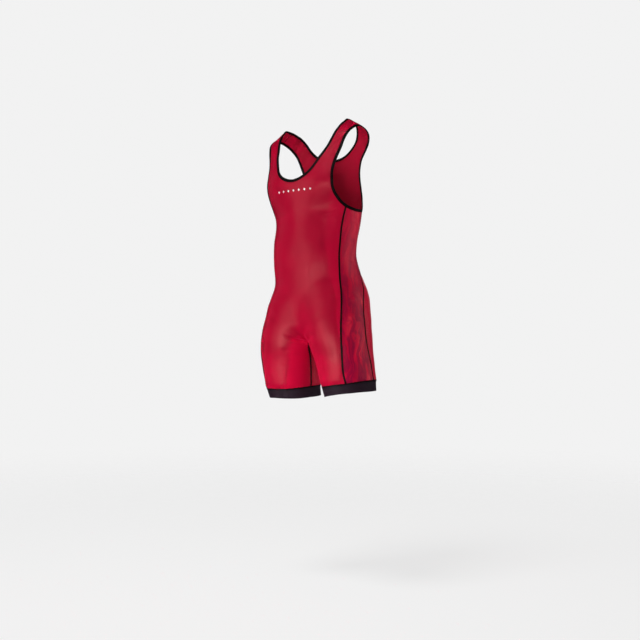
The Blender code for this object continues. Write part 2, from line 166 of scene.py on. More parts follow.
def cubic(xs, ys):
    """A smooth curve through the points of a table, straight beyond its ends."""
    xs, ys = np.asarray(xs, float), np.asarray(ys, float)
    count, step = len(xs), np.diff(xs)
    rise = np.diff(ys) / step
    matrix, right = np.eye(count), np.zeros(count)
    for i in range(1, count - 1):
        matrix[i, i - 1:i + 2] = step[i - 1], 2 * (step[i - 1] + step[i]), step[i]
        right[i] = 6 * (rise[i] - rise[i - 1])
    bend = np.linalg.solve(matrix, right)
    first = rise[0] - step[0] * (2 * bend[0] + bend[1]) / 6
    last = rise[-1] + step[-1] * (bend[-2] + 2 * bend[-1]) / 6

    def at(x):
        x = np.asarray(x, float)
        i = np.clip(np.searchsorted(xs, x) - 1, 0, count - 2)
        inside = np.clip(x, xs[0], xs[-1])
        before, after = xs[i + 1] - inside, inside - xs[i]
        value = (bend[i] * before ** 3 + bend[i + 1] * after ** 3) / (6 * step[i])
        value += (ys[i] / step[i] - bend[i] * step[i] / 6) * before
        value += (ys[i + 1] / step[i] - bend[i + 1] * step[i] / 6) * after
        return value + np.minimum(x - xs[0], 0) * first + np.maximum(x - xs[-1], 0) * last

    return at


def curves(table):
    """{column: curve over the table's first column}"""
    rows = np.array(table["rows"], float)
    return {name: cubic(rows[:, 0], rows[:, i]) for i, name in enumerate(table["columns"]) if i}


TRUNK_AT, THIGH_AT, YOKE_AT = curves(TRUNK), curves(THIGH), curves(YOKE)


def oval(u, v, half_width, front, back, front_square, back_square):
    """About how far (u, v) lies outside an oval, whose front and back halves differ."""
    depth, square = np.where(v < 0, front, back), np.where(v < 0, front_square, back_square)
    u, v = np.abs(u) + 1e-9, np.abs(v) + 1e-9
    size = ((u / half_width) ** square + (v / depth) ** square) ** (1 / square)
    steep = size ** (1 - square) * np.hypot(u ** (square - 1) / half_width ** square,
                                            v ** (square - 1) / depth ** square)
    return (size - 1) / np.maximum(steep, 0.5 / np.maximum(half_width, depth))


def join(a, b, blend):
    """The union of two distances, rounded where they meet."""
    near = np.maximum(blend - np.abs(a - b), 0) / blend
    return np.minimum(a, b) - blend * near ** 3 / 6


def closing(distance, reach):
    """A soft end: nothing before it, and rising ever more steeply beyond it."""
    return np.maximum(distance, 0) ** 2 / (2 * reach)


def form(p):
    """About how far a point lies outside the form that the garment is stretched over."""
    x, y, z = p[..., 0], p[..., 1], p[..., 2]
    level = np.clip(z, *TRUNK_LEVELS)
    trunk = oval(x, y, *(TRUNK_AT[c](level) for c in TRUNK["columns"][1:]))
    trunk = trunk + closing(FORK_TOP - z, FORK_REACH) + closing(z - CHEST_TOP, CHEST_REACH)
    level = np.clip(z, *THIGH_LEVELS)
    across, along, *section = (THIGH_AT[c](level) for c in THIGH["columns"][1:])
    legs = [oval(side - across, y - along, *section) for side in (np.abs(x), -np.abs(x))]
    thighs = join(*legs, THIGH_BLEND) + closing(z - THIGH_TOP, THIGH_REACH)
    reach = np.minimum(np.abs(x), YOKE_LAST)
    along, up, depth, height = (YOKE_AT[c](reach) for c in YOKE["columns"][1:])
    yoke = oval(y - along, z - up, depth, height, height, 2.0, 2.0)
    yoke = yoke + closing(np.abs(x) - YOKE_END, YOKE_REACH)
    return join(join(trunk, thighs, FORK_BLEND), yoke, YOKE_BLEND)


def steepest(p, step=2e-4):
    """How fast form() rises along x, y and z."""
    moves = np.eye(3) * step
    return np.stack([form(p + move) - form(p - move) for move in moves], -1) / (2 * step)


def outward(p):
    """The way out of the form."""
    slope = steepest(p)
    return slope / np.linalg.norm(slope, axis=-1, keepdims=True)


def settle(p, times=8):
    """Moves points onto the form, along its slope."""
    p = np.array(p, float)
    for _ in range(times):
        slope = steepest(p)
        move = (form(p) / np.maximum((slope * slope).sum(-1), LEAST_SLOPE))[..., None] * slope
        length = np.linalg.norm(move, axis=-1, keepdims=True)
        p -= move * np.minimum(1, LONGEST_MOVE / np.maximum(length, 1e-9))
    return p


def pressed(p, way, times, share):
    """Points moved straight along a way onto the form, each time by a share of what is left."""
    for _ in range(times):
        p = p + way * (form(p) * share)[..., None]
    return p


def through(a, b, c, t):
    """The plain curve from a past b to c, at shares t of its way."""
    return a * (1 - t) * (1 - 2 * t) + b * 4 * t * (1 - t) + c * t * (2 * t - 1)


def spaced(points, count):
    """count + 1 points at equal steps along a line of points."""
    run = np.r_[0, np.cumsum(np.linalg.norm(np.diff(points, axis=0), axis=1))]
    at = np.linspace(0, run[-1], count + 1)
    return np.stack([np.interp(at, run, points[:, i]) for i in range(3)], -1)


def line(points, count, first=0, last=None):
    """count + 1 points on the form, evenly along a smooth line through points[first] to points[last]."""
    points = np.array(points, float)
    run = np.r_[0, np.cumsum(np.linalg.norm(np.diff(points, axis=0), axis=1))]
    ends = run[first], run[-1 if last is None else last]
    fine = np.stack([cubic(run, points[:, i])(np.linspace(*ends, LINE_SAMPLES)) for i in range(3)], -1)
    return settle(spaced(settle(fine), count))


def rows_between(inner, middle, outer, columns):
    """A grid of points on the form: each row goes from inner past middle to outer."""
    s = np.linspace(0, 1, ACROSS_SAMPLES)[None, :, None]
    a, b, c = (edge[:, None, :] for edge in (inner, middle, outer))
    rows = settle(through(a, b, c, s))
    rows[:, 0], rows[:, -1] = inner, outer
    grid = settle(np.stack([spaced(row, columns) for row in rows]))
    grid[:, 0], grid[:, -1] = inner, outer
    return grid


def seam(points):
    """A side seam's line, spaced by the leg's rows and then by the body's."""
    return np.concatenate([line(points, LEG_ROWS, 0, LEG_SPLIT)[:-1],
                           line(points, BODY_ROWS, LEG_SPLIT)])


# Creases, each a soft trough (or a ridge, where its depth is negative) along a curve through three places.
# A place is (across, z): across is x on the front and back, and y on a side. Width and depth are in
# millimetres, and the peak is where along the curve it is deepest.
CREASES = {
    "columns": ("face", "start", "middle", "end", "width", "depth", "peak"),
    "rows": (
        ("front", (-0.062, -0.700), (-0.033, -0.716), (-0.003, -0.727), 5.0, 3.4, 0.85),
        ("front", (-0.044, -0.686), (-0.026, -0.698), (-0.008, -0.713), 6.0, -1.0, 0.70),
        ("front", (0.092, -0.702), (0.052, -0.719), (0.006, -0.729), 8.0, 1.6, 0.85),
        ("front", (0.066, -0.682), (0.042, -0.698), (0.014, -0.714), 8.0, -0.7, 0.60),
        ("front", (0.010, -0.744), (0.046, -0.756), (0.084, -0.757), 4.5, 0.9, 0.20),
        ("front", (0.016, -0.770), (0.048, -0.779), (0.080, -0.777), 4.0, 0.6, 0.30),
        ("front", (-0.010, -0.740), (-0.044, -0.752), (-0.084, -0.746), 4.5, 1.1, 0.20),
        ("front", (-0.016, -0.764), (-0.050, -0.775), (-0.078, -0.770), 4.0, 0.6, 0.30),
        ("front", (-0.022, -0.800), (-0.060, -0.806), (-0.098, -0.800), 5.0, 0.5, 0.40),
        ("front", (0.136, -0.450), (0.104, -0.459), (0.066, -0.452), 7.0, 0.15, 0.25),
        ("front", (0.140, -0.486), (0.112, -0.493), (0.082, -0.489), 6.0, 0.15, 0.25),
        ("front", (-0.136, -0.444), (-0.100, -0.455), (-0.060, -0.447), 7.0, 0.2, 0.25),
        ("front", (-0.140, -0.474), (-0.110, -0.482), (-0.080, -0.480), 6.0, 0.15, 0.30),
        ("front", (0.128, -0.288), (0.104, -0.306), (0.076, -0.318), 6.0, 0.8, 0.20),
        ("front", (0.128, -0.262), (0.110, -0.272), (0.090, -0.276), 5.0, 0.5, 0.20),
        ("front", (-0.128, -0.292), (-0.100, -0.308), (-0.068, -0.314), 6.0, 0.8, 0.20),
        ("front", (-0.127, -0.258), (-0.112, -0.268), (-0.094, -0.270), 5.0, 0.5, 0.25),
        ("front", (0.106, -0.135), (0.115, -0.098), (0.133, -0.060), 5.0, 0.6, 0.50),
        ("front", (-0.108, -0.142), (-0.118, -0.106), (-0.134, -0.068), 5.0, 0.5, 0.40),
        ("front", (0.154, -0.600), (0.108, -0.642), (0.060, -0.672), 10.0, 0.8, 0.40),
        ("front", (-0.154, -0.590), (-0.112, -0.630), (-0.070, -0.655), 11.0, 0.9, 0.40),
        ("back", (-0.096, -0.450), (0.000, -0.459), (0.088, -0.451), 8.0, 1.7, 0.45),
        ("back", (-0.072, -0.480), (-0.008, -0.489), (0.064, -0.482), 8.0, 1.2, 0.55),
        ("back", (-0.058, -0.424), (0.006, -0.430), (0.078, -0.422), 7.0, 0.9, 0.50),
        ("back", (-0.040, -0.506), (0.012, -0.513), (0.070, -0.506), 8.0, 0.7, 0.50),
        ("back", (0.016, -0.742), (0.074, -0.757), (0.130, -0.742), 8.0, 2.6, 0.30),
        ("back", (-0.016, -0.740), (-0.070, -0.754), (-0.124, -0.738), 8.0, 2.8, 0.30),
        ("back", (0.036, -0.774), (0.084, -0.785), (0.128, -0.776), 6.0, 1.1, 0.35),
        ("back", (-0.032, -0.771), (-0.078, -0.781), (-0.116, -0.772), 6.0, 1.2, 0.35),
        ("back", (0.146, -0.506), (0.110, -0.524), (0.074, -0.526), 7.0, 0.9, 0.25),
        ("back", (-0.146, -0.500), (-0.108, -0.518), (-0.066, -0.522), 7.0, 1.0, 0.25),
        ("back", (0.120, -0.268), (0.092, -0.300), (0.058, -0.320), 7.0, 0.9, 0.25),
        ("back", (-0.120, -0.274), (-0.090, -0.303), (-0.050, -0.318), 7.0, 1.0, 0.25),
        ("back", (0.112, -0.236), (0.090, -0.250), (0.062, -0.258), 6.0, 0.6, 0.25),
        ("back", (-0.044, -0.134), (0.000, -0.143), (0.048, -0.135), 7.0, 0.7, 0.50),
        ("left", (-0.062, -0.597), (-0.040, -0.590), (-0.012, -0.595), 3.6, 1.3, 0.40),
        ("left", (-0.060, -0.613), (-0.044, -0.607), (-0.024, -0.611), 3.4, 0.9, 0.50),
        ("left", (-0.052, -0.577), (-0.034, -0.572), (-0.010, -0.576), 3.6, 0.7, 0.50),
        ("left", (-0.036, -0.450), (0.002, -0.459), (0.040, -0.453), 6.0, 1.1, 0.50),
        ("left", (-0.030, -0.476), (0.002, -0.484), (0.034, -0.479), 5.0, 0.8, 0.45),
        ("left", (-0.022, -0.322), (0.012, -0.331), (0.050, -0.325), 5.0, 0.8, 0.55),
        ("right", (-0.058, -0.590), (-0.034, -0.597), (-0.006, -0.590), 3.6, 1.2, 0.45),
        ("right", (-0.056, -0.609), (-0.040, -0.614), (-0.018, -0.608), 3.4, 0.8, 0.50),
        ("right", (-0.034, -0.446), (0.000, -0.456), (0.042, -0.450), 6.0, 1.2, 0.55),
        ("right", (-0.028, -0.470), (0.004, -0.479), (0.032, -0.474), 5.0, 0.7, 0.45),
        ("right", (-0.024, -0.326), (0.008, -0.334), (0.044, -0.330), 5.0, 0.7, 0.45),
    ),
}
# A lip rises on each side of a crease: its height in depths, and its place and width in widths.
LIP_HEIGHT, LIP_PLACE, LIP_WIDTH = 0.45, 1.8, 0.8
CREASE_REACH = 3.2        # how far from its curve a crease is felt, in widths
CREASE_POINTS = 13
# For each face, which way across runs, a start far outside, and the way in.
FACES = {
    "front": ((1, 0), (0, -0.30), (0, 1)),
    "back": ((1, 0), (0, 0.30), (0, -1)),
    "left": ((0, 1), (0.36, 0), (-1, 0)),
    "right": ((0, 1), (-0.36, 0), (1, 0)),
}
# Broad unevenness of stretched cloth: waves with their lengths along x, y and z, and their height.
SWELLS = {
    "columns": ("x", "y", "z", "phase", "height"),
    "rows": (
        (0.140, 0.190, 0.110, 0.4, 0.00022),
        (-0.090, 0.170, 0.160, 1.9, 0.00018),
        (0.210, -0.120, 0.075, 3.1, 0.00014),
        (0.075, 0.085, -0.240, 4.4, 0.00014),
        (-0.130, -0.100, 0.052, 5.2, 0.00007),
    ),
}
HEM_Z = -0.880            # where the leg bands begin
HEM_SQUEEZE = 0.0010      # how far the band draws the leg in
HEM_SWELL = 0.0011        # how far the cloth stands out above the band
HEM_GATHER = 0.00055      # height of the small gathers there
HEM_BELOW = 0.045         # how far below HEM_Z the band still draws the leg in
SWELL_ABOVE = 0.013       # how far above it the cloth stands out most
SWELL_REACH, SQUEEZE_REACH, GATHER_REACH = 0.010, 0.006, 0.016
GATHERS_ROUND = 58
RIGHT_LEG = 1.3           # how far the right leg's gathers are turned from the left one's
PUCKER = 0.00022          # height of the puckers beside a seam
PUCKER_PITCH = 0.0085
PUCKER_REACH = 0.008
PUCKER_SHIFT, PUCKER_WAVES = 6, 23        # how far, in radians, and how fast the puckers come out of step


def cast(face, place):
    """The point of the form that lies straight in from outside, at (across, z) on one of its faces."""
    use, start, way = FACES[face]
    across, z = place
    p = np.array((start[0] + use[0] * across, start[1] + use[1] * across, z))
    return pressed(p, np.array((*way, 0.0)), 60, 0.8)


@functools.lru_cache(maxsize=None)
def crease_paths():
    """[(points of the crease's curve on the form, width, depth, peak)]"""
    found = []
    for face, start, middle, end, width, depth, peak in CREASES["rows"]:
        a, b, c = (cast(face, place) for place in (start, middle, end))
        curve = through(a, b, c, np.linspace(0, 1, CREASE_POINTS)[:, None])
        found.append((settle(curve), width / 1000, depth / 1000, peak))
    return found


def nearest(path, p):
    """How far each point is from a path, and how far along it, from 0 to 1, its nearest place is."""
    best = np.full(len(p), 1e9)
    along = np.zeros(len(p))
    for i in range(len(path) - 1):
        step = path[i + 1] - path[i]
        t = np.clip(((p - path[i]) @ step) / (step @ step), 0, 1)
        away = np.linalg.norm(p - path[i] - t[:, None] * step, axis=1)
        closer = away < best
        best = np.where(closer, away, best)
        along = np.where(closer, (i + t) / (len(path) - 1), along)
    return best, along


@functools.lru_cache(maxsize=None)
def seam_paths():
    """The lines of the left half's seams that run up and down, on the form."""
    return line(SEAM_FRONT, 60), line(SEAM_REAR, 60), line(INSEAM, 16)


def add_creases(height, p):
    """A trough along each crease's curve, with a lip on each side."""
    for path, width, depth, peak in crease_paths():
        reach = CREASE_REACH * width
        close = ((p > path.min(0) - reach) & (p < path.max(0) + reach)).all(1)
        if not close.any():
            continue
        away, along = nearest(path, p[close])
        taper = np.sin(np.where(along < peak, along / peak, (1 - along) / (1 - peak)) * math.pi / 2)
        lip = LIP_HEIGHT * np.exp(-((away - LIP_PLACE * width) / (LIP_WIDTH * width)) ** 2)
        height[close] -= depth * taper * (np.exp(-(away / width) ** 2) - lip)


def add_hem(height, p):
    """What the leg band does to the cloth: draws it in, and swells and gathers it above."""
    above = p[:, 2] - HEM_Z
    across, along = THIGH_AT["across"](HEM_Z), THIGH_AT["along"](HEM_Z)
    round_leg = np.arctan2(p[:, 1] - along, np.abs(p[:, 0]) - across)
    fade = np.exp(-np.maximum(above, 0) / GATHER_REACH)
    swell = HEM_SWELL * np.exp(-((above - SWELL_ABOVE) / SWELL_REACH) ** 2)
    squeeze = HEM_SQUEEZE * np.exp(-(np.maximum(above, 0) / SQUEEZE_REACH) ** 2)
    side = np.where(p[:, 0] > 0, 0.0, RIGHT_LEG)
    wander = round_leg + 0.05 * np.sin(5 * round_leg + side) + side
    gather = np.sin(GATHERS_ROUND * wander) * (0.6 + 0.4 * np.sin(7 * round_leg + 2 * side))
    gathers = np.where(above > 0, HEM_GATHER * fade * gather, 0)
    height += np.where(above > -HEM_BELOW, swell - squeeze + gathers, 0)


def add_puckers(height, p):
    """The puckers beside the seams that run up and down, at uneven steps."""
    folded = np.abs(p[:, 0])[:, None] * (1, 0, 0) + p * (0, 1, 1)
    wave = np.sin(2 * math.pi * p[:, 2] / PUCKER_PITCH + PUCKER_SHIFT * np.sin(PUCKER_WAVES * p[:, 2]))
    for path in seam_paths():
        away, _ = nearest(path, folded)
        height += PUCKER * np.exp(-(away / PUCKER_REACH) ** 2) * wave


def relief(p):
    """How far the cloth stands out from the form: swells, creases, gathers and puckers."""
    flat = p.reshape(-1, 3)
    height = np.zeros(len(flat))
    for *lengths, phase, rise in SWELLS["rows"]:
        height += rise * np.sin(2 * math.pi * (flat / np.array(lengths)).sum(1) + phase)
    add_creases(height, flat)
    add_hem(height, flat)
    add_puckers(height, flat)
    return height.reshape(p.shape[:-1])


def dressed(p):
    """Points on the form, moved out to where the cloth's inner face is."""
    return p + outward(p) * relief(p)[..., None]


def fitted(grid, first, last, first_rows, last_rows):
    """A grid whose first and last rows are moved to given lines, and the rows near them in proportion."""
    grid = grid.copy()
    for line_of, rows, order in ((first, first_rows, slice(None)), (last, last_rows, slice(None, None, -1))):
        turned = grid[order]
        fade = (1 - np.arange(rows) / rows) ** 2
        turned[:rows] += (line_of - turned[0]) * fade[:, None, None]
    edges = grid[:, 0].copy(), grid[:, -1].copy()
    grid = settle(grid)
    grid[:, 0], grid[:, -1] = edges
    grid[0], grid[-1] = first, last
    return grid


def half_panel(hem, centre, neck, side, arm, upper_rows, facing):
    """The left half of the front (facing -1) or the back (facing 1), with its rows from hem to shoulder."""
    inner = np.concatenate([line(INSEAM, LEG_ROWS)[:-1],
                            line(centre, BODY_ROWS + upper_rows)[:-1],
                            line(neck, ARM_ROWS - upper_rows)])
    outer = np.concatenate([seam(side)[:-1], line(arm, ARM_ROWS)])
    width = np.linalg.norm(inner - outer, axis=1, keepdims=True)
    middle = settle((inner + outer) / 2 + width * (0, MIDDLE_PUSH * facing, 0))
    grid = rows_between(inner, middle, outer, HALF_COLUMNS)
    return fitted(grid, line(hem, HALF_COLUMNS), line(SHOULDER, HALF_COLUMNS), LEG_ROWS, SHOULDER_ROWS)


@functools.lru_cache(maxsize=None)
def pattern():
    """The left half's grids on the form: front, back, side insert and leg band."""
    front = half_panel(HEM_FRONT, CENTRE_FRONT, NECK_FRONT, SEAM_FRONT, ARM_FRONT, CHEST_ROWS, -1)
    back = half_panel(HEM_BACK, CENTRE_BACK, NECK_BACK, SEAM_REAR, ARM_BACK, NAPE_ROWS, 1)
    inner, outer = front[:SEAM_ROWS, -1], back[:SEAM_ROWS, -1]
    side = rows_between(inner, settle((inner + outer) / 2), outer, SIDE_COLUMNS)
    side = fitted(side, line(HEM_SIDE, SIDE_COLUMNS), line(UNDERARM, SIDE_COLUMNS), LEG_ROWS, LEG_ROWS)
    hem = np.concatenate([front[0, :-1], side[0, :-1], back[0, ::-1][:-1]])
    drops = np.linspace(BAND_HEIGHT, 0, BAND_ROWS + 1)
    band = np.stack([settle(hem - (0, 0, drop)) if drop else hem for drop in drops])
    return front, back, side, band


def carried(p):
    """The garment's turn, lean and tilt, as it is worn."""
    p = np.array(p, float)
    rise = np.clip((p[..., 2] - TURN_BOTTOM) / (TURN_TOP - TURN_BOTTOM), 0, 1)
    rise = rise * rise * (3 - 2 * rise)
    turn = CHEST_TURN * rise
    x, y = p[..., 0].copy(), p[..., 1].copy()
    p[..., 0] = x * np.cos(turn) - y * np.sin(turn) + LEAN * rise
    p[..., 1] = x * np.sin(turn) + y * np.cos(turn)
    p[..., 2] += TILT * x
    return p


def mirrored(p):
    return p * (-1, 1, 1)


def unit(vectors):
    """The same ways, with a length of 1."""
    return vectors / np.maximum(np.linalg.norm(vectors, axis=-1, keepdims=True), 1e-12)


# ---------------------------------------------------------------------------------------------
# Meshes
# ---------------------------------------------------------------------------------------------
def grid_faces(rows, columns, start=0, flip=False, closed=False, looped=False):
    """Faces of a grid of points: closed joins its last column to its first, and looped its last row."""
    row, column = np.arange(rows if looped else rows - 1), np.arange(columns if closed else columns - 1)
    i, j = np.meshgrid(row, column, indexing="ij")
    next_i, next_j = (i + 1) % rows, (j + 1) % columns
    corners = [i * columns + j, i * columns + next_j, next_i * columns + next_j, next_i * columns + j]
    faces = np.stack(corners, -1).reshape(-1, 4) + start
    return faces[:, ::-1] if flip else faces


def add_mesh(name, points, faces, looks, cut=None):
    """An object with these points, faces and looks. cut is each point's place on the flat cloth."""
    mesh = bpy.data.meshes.new(name)
    mesh.from_pydata(np.asarray(points).tolist(), [], np.asarray(faces).tolist())
    mesh.shade_smooth()
    if cut is not None:
        flat = np.zeros((len(points), 3), np.float32)
        flat[:, :2] = cut
        mesh.attributes.new("cut", "FLOAT_VECTOR", "POINT").data.foreach_set("vector", flat.ravel())
    obj = bpy.data.objects.new(name, mesh)
    for look in looks:
        mesh.materials.append(look)
    bpy.context.scene.collection.objects.link(obj)
    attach(obj, "root")
    return obj


def thicken(obj, thickness):
    """Gives a sheet its thickness, outwards. Its second look is on the inside."""
    solid = obj.modifiers.new("thickness", "SOLIDIFY")
    solid.thickness = thickness
    solid.offset = 1
    solid.material_offset = 1 if len(obj.data.materials) > 1 else 0


def along_rows(grid):
    """How far each point is from the start of its row, along it."""
    steps = np.linalg.norm(np.diff(grid, axis=1), axis=-1)
    return np.concatenate([np.zeros((len(grid), 1)), np.cumsum(steps, axis=1)], axis=1)


def add_strip(name, grid, across, looks, thickness, flip, closed=False):
    """A cloth over one grid of points on the form. across is each point's place on its row."""
    cut = np.stack([across, grid[..., 2]], -1)
    faces = grid_faces(*grid.shape[:2], 0, flip, closed)
    obj = add_mesh(name, carried(dressed(grid)).reshape(-1, 3), faces, looks, cut.reshape(-1, 2))
    thicken(obj, thickness)
    return obj


def add_panel(name, grid, flip, looks):
    """A panel made of a left half and its mirror image, joined down the middle."""
    rows, columns = grid.shape[:2]
    halves = [dressed(grid), dressed(mirrored(grid))]
    cut = np.stack([along_rows(grid) + grid[:, :1, 0], grid[..., 2]], -1)
    points = np.concatenate([half.reshape(-1, 3) for half in halves])
    places = np.concatenate([cut.reshape(-1, 2), (cut * (-1, 1)).reshape(-1, 2)])
    faces = [grid_faces(rows, columns, 0, flip), grid_faces(rows, columns, rows * columns, not flip)]
    faces = np.concatenate(faces)
    _, first, index = np.unique(np.round(points, 7) + 0.0, axis=0, return_index=True, return_inverse=True)
    obj = add_mesh(name, carried(points[first]), index.reshape(-1)[faces], looks, places[first])
    thicken(obj, CLOTH)
    return obj


def resampled(path, step, closed):
    """Points at about equal steps along a path on the form, and how far along each is."""
    if closed:
        path = np.concatenate([path, path[:1]])
    length = np.linalg.norm(np.diff(path, axis=0), axis=1).sum()
    count = max(int(round(length / step)), 4)
    points = settle(spaced(path, count), 3)
    if closed:
        points = points[:-1]
    return points, np.arange(len(points)) * length / count


def edge_frame(path, closed, reach=3):
    """Outward normals of a path on the form, and its sideways directions."""
    if closed:
        along = np.roll(path, -reach, axis=0) - np.roll(path, reach, axis=0)
    else:
        i = np.arange(len(path))
        along = path[np.minimum(i + reach, len(path) - 1)] - path[np.maximum(i - reach, 0)]
    normal = outward(path)
    return normal, unit(np.cross(unit(along), normal))


def swept(path, sections, closed, towards=1):
    """Rings of points along a path: sections[i, j] is (across, up) from the i-th point."""
    normal, sideways = edge_frame(path, closed)
    base = dressed(path)
    across, up = sections[..., 0:1], sections[..., 1:2]
    return base[:, None] + sideways[:, None] * across * towards + normal[:, None] * up


def end_faces(count, sides, flip):
    """Strips of quads that close the two ends of a tube."""
    faces = []
    for first, turn in ((0, not flip), ((count - 1) * sides, flip)):
        for j in range(sides // 2 - 1):
            quad = (first + j, first + j + 1, first + sides - 2 - j, first + sides - 1 - j)
            faces.append(quad[::-1] if turn else quad)
    return np.array(faces)


def joined(parts):
    """Several (points, faces) as one."""
    points, faces, start = [], [], 0
    for some, quads in parts:
        points.append(some.reshape(-1, 3))
        faces.append(quads + start)
        start += len(points[-1])
    return np.concatenate(points), np.concatenate(faces)


# A flatlock seam in section: threads lie side by side on a flat bed, and loopers cross them.
THREADS = 4
SEAM_POINTS = 15
SEAM_STEP = 0.0007
STITCH = 0.0024
LOOPER_SLANT = 0.28                           # in stitches, for each thread crossed
THREAD_GROOVE, LOOPER_GROOVE = 0.26, 0.42     # as shares of the seam's rise
EDGE_RAGGED = 0.03                            # how far a looper moves its edge, as a share of half its width
EDGE_WANDER, EDGE_WAVES = 0.02, 310           # and how far, and how fast, the edge wanders along it
SEAM_FOOT = (0.94, 0.0, -0.94)                # places of its underside, as shares of half its width
SEAM_SINK = 0.0004                            # how far its underside lies in the cloth


def flatlock(path, closed, width, rise):
    """A flat seam of interlaced threads along a path on the form: four needle lines, crossed by loopers."""
    points, run = resampled(path, SEAM_STEP, closed)
    run = run[:, None]
    u = np.linspace(-1, 1, SEAM_POINTS)
    crown = (1 - np.abs(u) ** 6) * rise
    lines = 0.5 + 0.5 * np.cos(math.pi * THREADS * u)
    slant = 2 * math.pi * (run / STITCH + LOOPER_SLANT * np.abs(((u[None] * THREADS / 2) % 1) - 0.5))
    bars = np.sqrt(0.5 + 0.5 * np.sin(slant))
    top = CLOTH + crown - THREAD_GROOVE * rise * lines - LOOPER_GROOVE * rise * (1 - bars) * (1 - 0.5 * lines)
    section = np.zeros((len(points), SEAM_POINTS + len(SEAM_FOOT), 2))
    edge = EDGE_RAGGED * np.sin(slant[:, :1]) + EDGE_WANDER * np.sin(run * EDGE_WAVES)
    section[:, :SEAM_POINTS, 0] = u[None] * (width / 2) * (1 + edge)
    section[:, :SEAM_POINTS, 1] = top
    section[:, SEAM_POINTS:, 0] = np.array(SEAM_FOOT) * width / 2
    section[:, SEAM_POINTS:, 1] = CLOTH - SEAM_SINK
    rings = swept(points, section, closed)
    count, sides = rings.shape[:2]
    faces = grid_faces(count, sides, 0, True, True, closed)
    if not closed:
        faces = np.concatenate([faces, end_faces(count, sides, True)])
    return rings.reshape(-1, 3), faces


def add_seam(name, path, closed, width, rise, look):
    points, faces = flatlock(path, closed, width, rise)
    add_mesh(name, carried(points), faces, [look])


# A binding in section, in millimetres from the edge of the cloth: its lip lies over the cloth, and a
# row of stitches sinks in near it.
BINDING = {
    "columns": ("across", "up"),
    "rows": (
        (0.35, -0.70), (4.6, -0.85), (8.1, -0.65), (8.75, -0.05), (8.75, 0.80), (8.3, 1.45), (7.3, 1.85),
        (5.8, 2.00), (4.3, 1.96), (3.3, 1.66), (2.5, 1.62), (1.7, 1.92), (0.5, 2.02), (-0.7, 1.95),
        (-1.25, 1.62), (-1.1, 1.27), (0.3, 1.25), (0.35, 0.30),
    ),
}
NEEDLE_LINE = 2.9         # how far the stitches lie from the edge of the cloth, in millimetres
STITCH_LONG, STITCH_GAP, THREAD = 0.0031, 0.0009, 0.00032
STITCH_PITCH = STITCH_LONG + STITCH_GAP
STITCH_UP = 0.00195       # how far the stitches lie out from the cloth's inner face
STITCH_STEP, BENDS, THREAD_SIDES = 0.0008, 6, 6
BINDING_STEP = 0.0016
OUTER_FACE = 0.0012       # what is above this rises and falls with the stitches
LIP_FROM = 0.007          # and what lies beyond this from the edge wanders
DRAWN, UNEVEN, WANDER = 0.00007, 0.00005, 0.00010
SLOW_WAVES = 71, 163      # in radians for each metre, as are EDGE_WAVES


def bound_edge(path, towards):
    """The folded binding along a closed edge, with slight waves where the needle draws it in."""
    points, run = resampled(path, BINDING_STEP, True)
    section = np.array(BINDING["rows"]) / 1000
    rings = np.repeat(section[None], len(points), axis=0)
    draw = np.sin(2 * math.pi * run / STITCH_PITCH)[:, None]
    slow = np.sin(run * SLOW_WAVES[0])[:, None] + np.sin(run * SLOW_WAVES[1] + 1)[:, None]
    rings[..., 1] += (section[:, 1] > OUTER_FACE) * (DRAWN * draw + UNEVEN * slow)
    rings[..., 0] += (section[:, 0] > LIP_FROM) * WANDER * slow
    shape = swept(points, rings, True, towards)
    return shape.reshape(-1, 3), grid_faces(*shape.shape[:2], 0, towards > 0, True, True)


def stitches(path, towards):
    """Separate stitches along a closed edge, each a short thread that dips in at its ends."""
    points, run = resampled(path, STITCH_STEP, True)
    normal, sideways = edge_frame(points, True)
    centre = dressed(points) + sideways * (NEEDLE_LINE / 1000) * towards
    count = int(run[-1] / STITCH_PITCH)
    bend = np.linspace(0, 1, BENDS)
    angle = np.linspace(0, 2 * math.pi, THREAD_SIDES, endpoint=False)[None, None, :, None]
    places = np.arange(count)[:, None] * STITCH_PITCH + bend * STITCH_LONG
    middle, high, wide = (np.stack([np.interp(places, run, values[:, i]) for i in range(3)], -1)
                          for values in (centre, normal, sideways))
    high, wide = unit(high), unit(wide)
    arch = np.sin(bend * math.pi)
    middle = middle + high * (STITCH_UP + THREAD * (1.5 * arch - 1))[None, :, None]
    darker_towards_bottom = THREAD * (0.55 + 0.45 * arch)[None, :, None, None]
    turn = np.cos(angle) * wide[:, :, None] + np.sin(angle) * high[:, :, None]
    rings = middle[:, :, None] + turn * darker_towards_bottom
    flip = towards < 0
    one = [grid_faces(BENDS, THREAD_SIDES, 0, flip, True), end_faces(BENDS, THREAD_SIDES, flip)]
    starts = (np.arange(count) * BENDS * THREAD_SIDES)[:, None, None]
    return rings.reshape(-1, 3), (np.concatenate(one)[None] + starts).reshape(-1, 4)


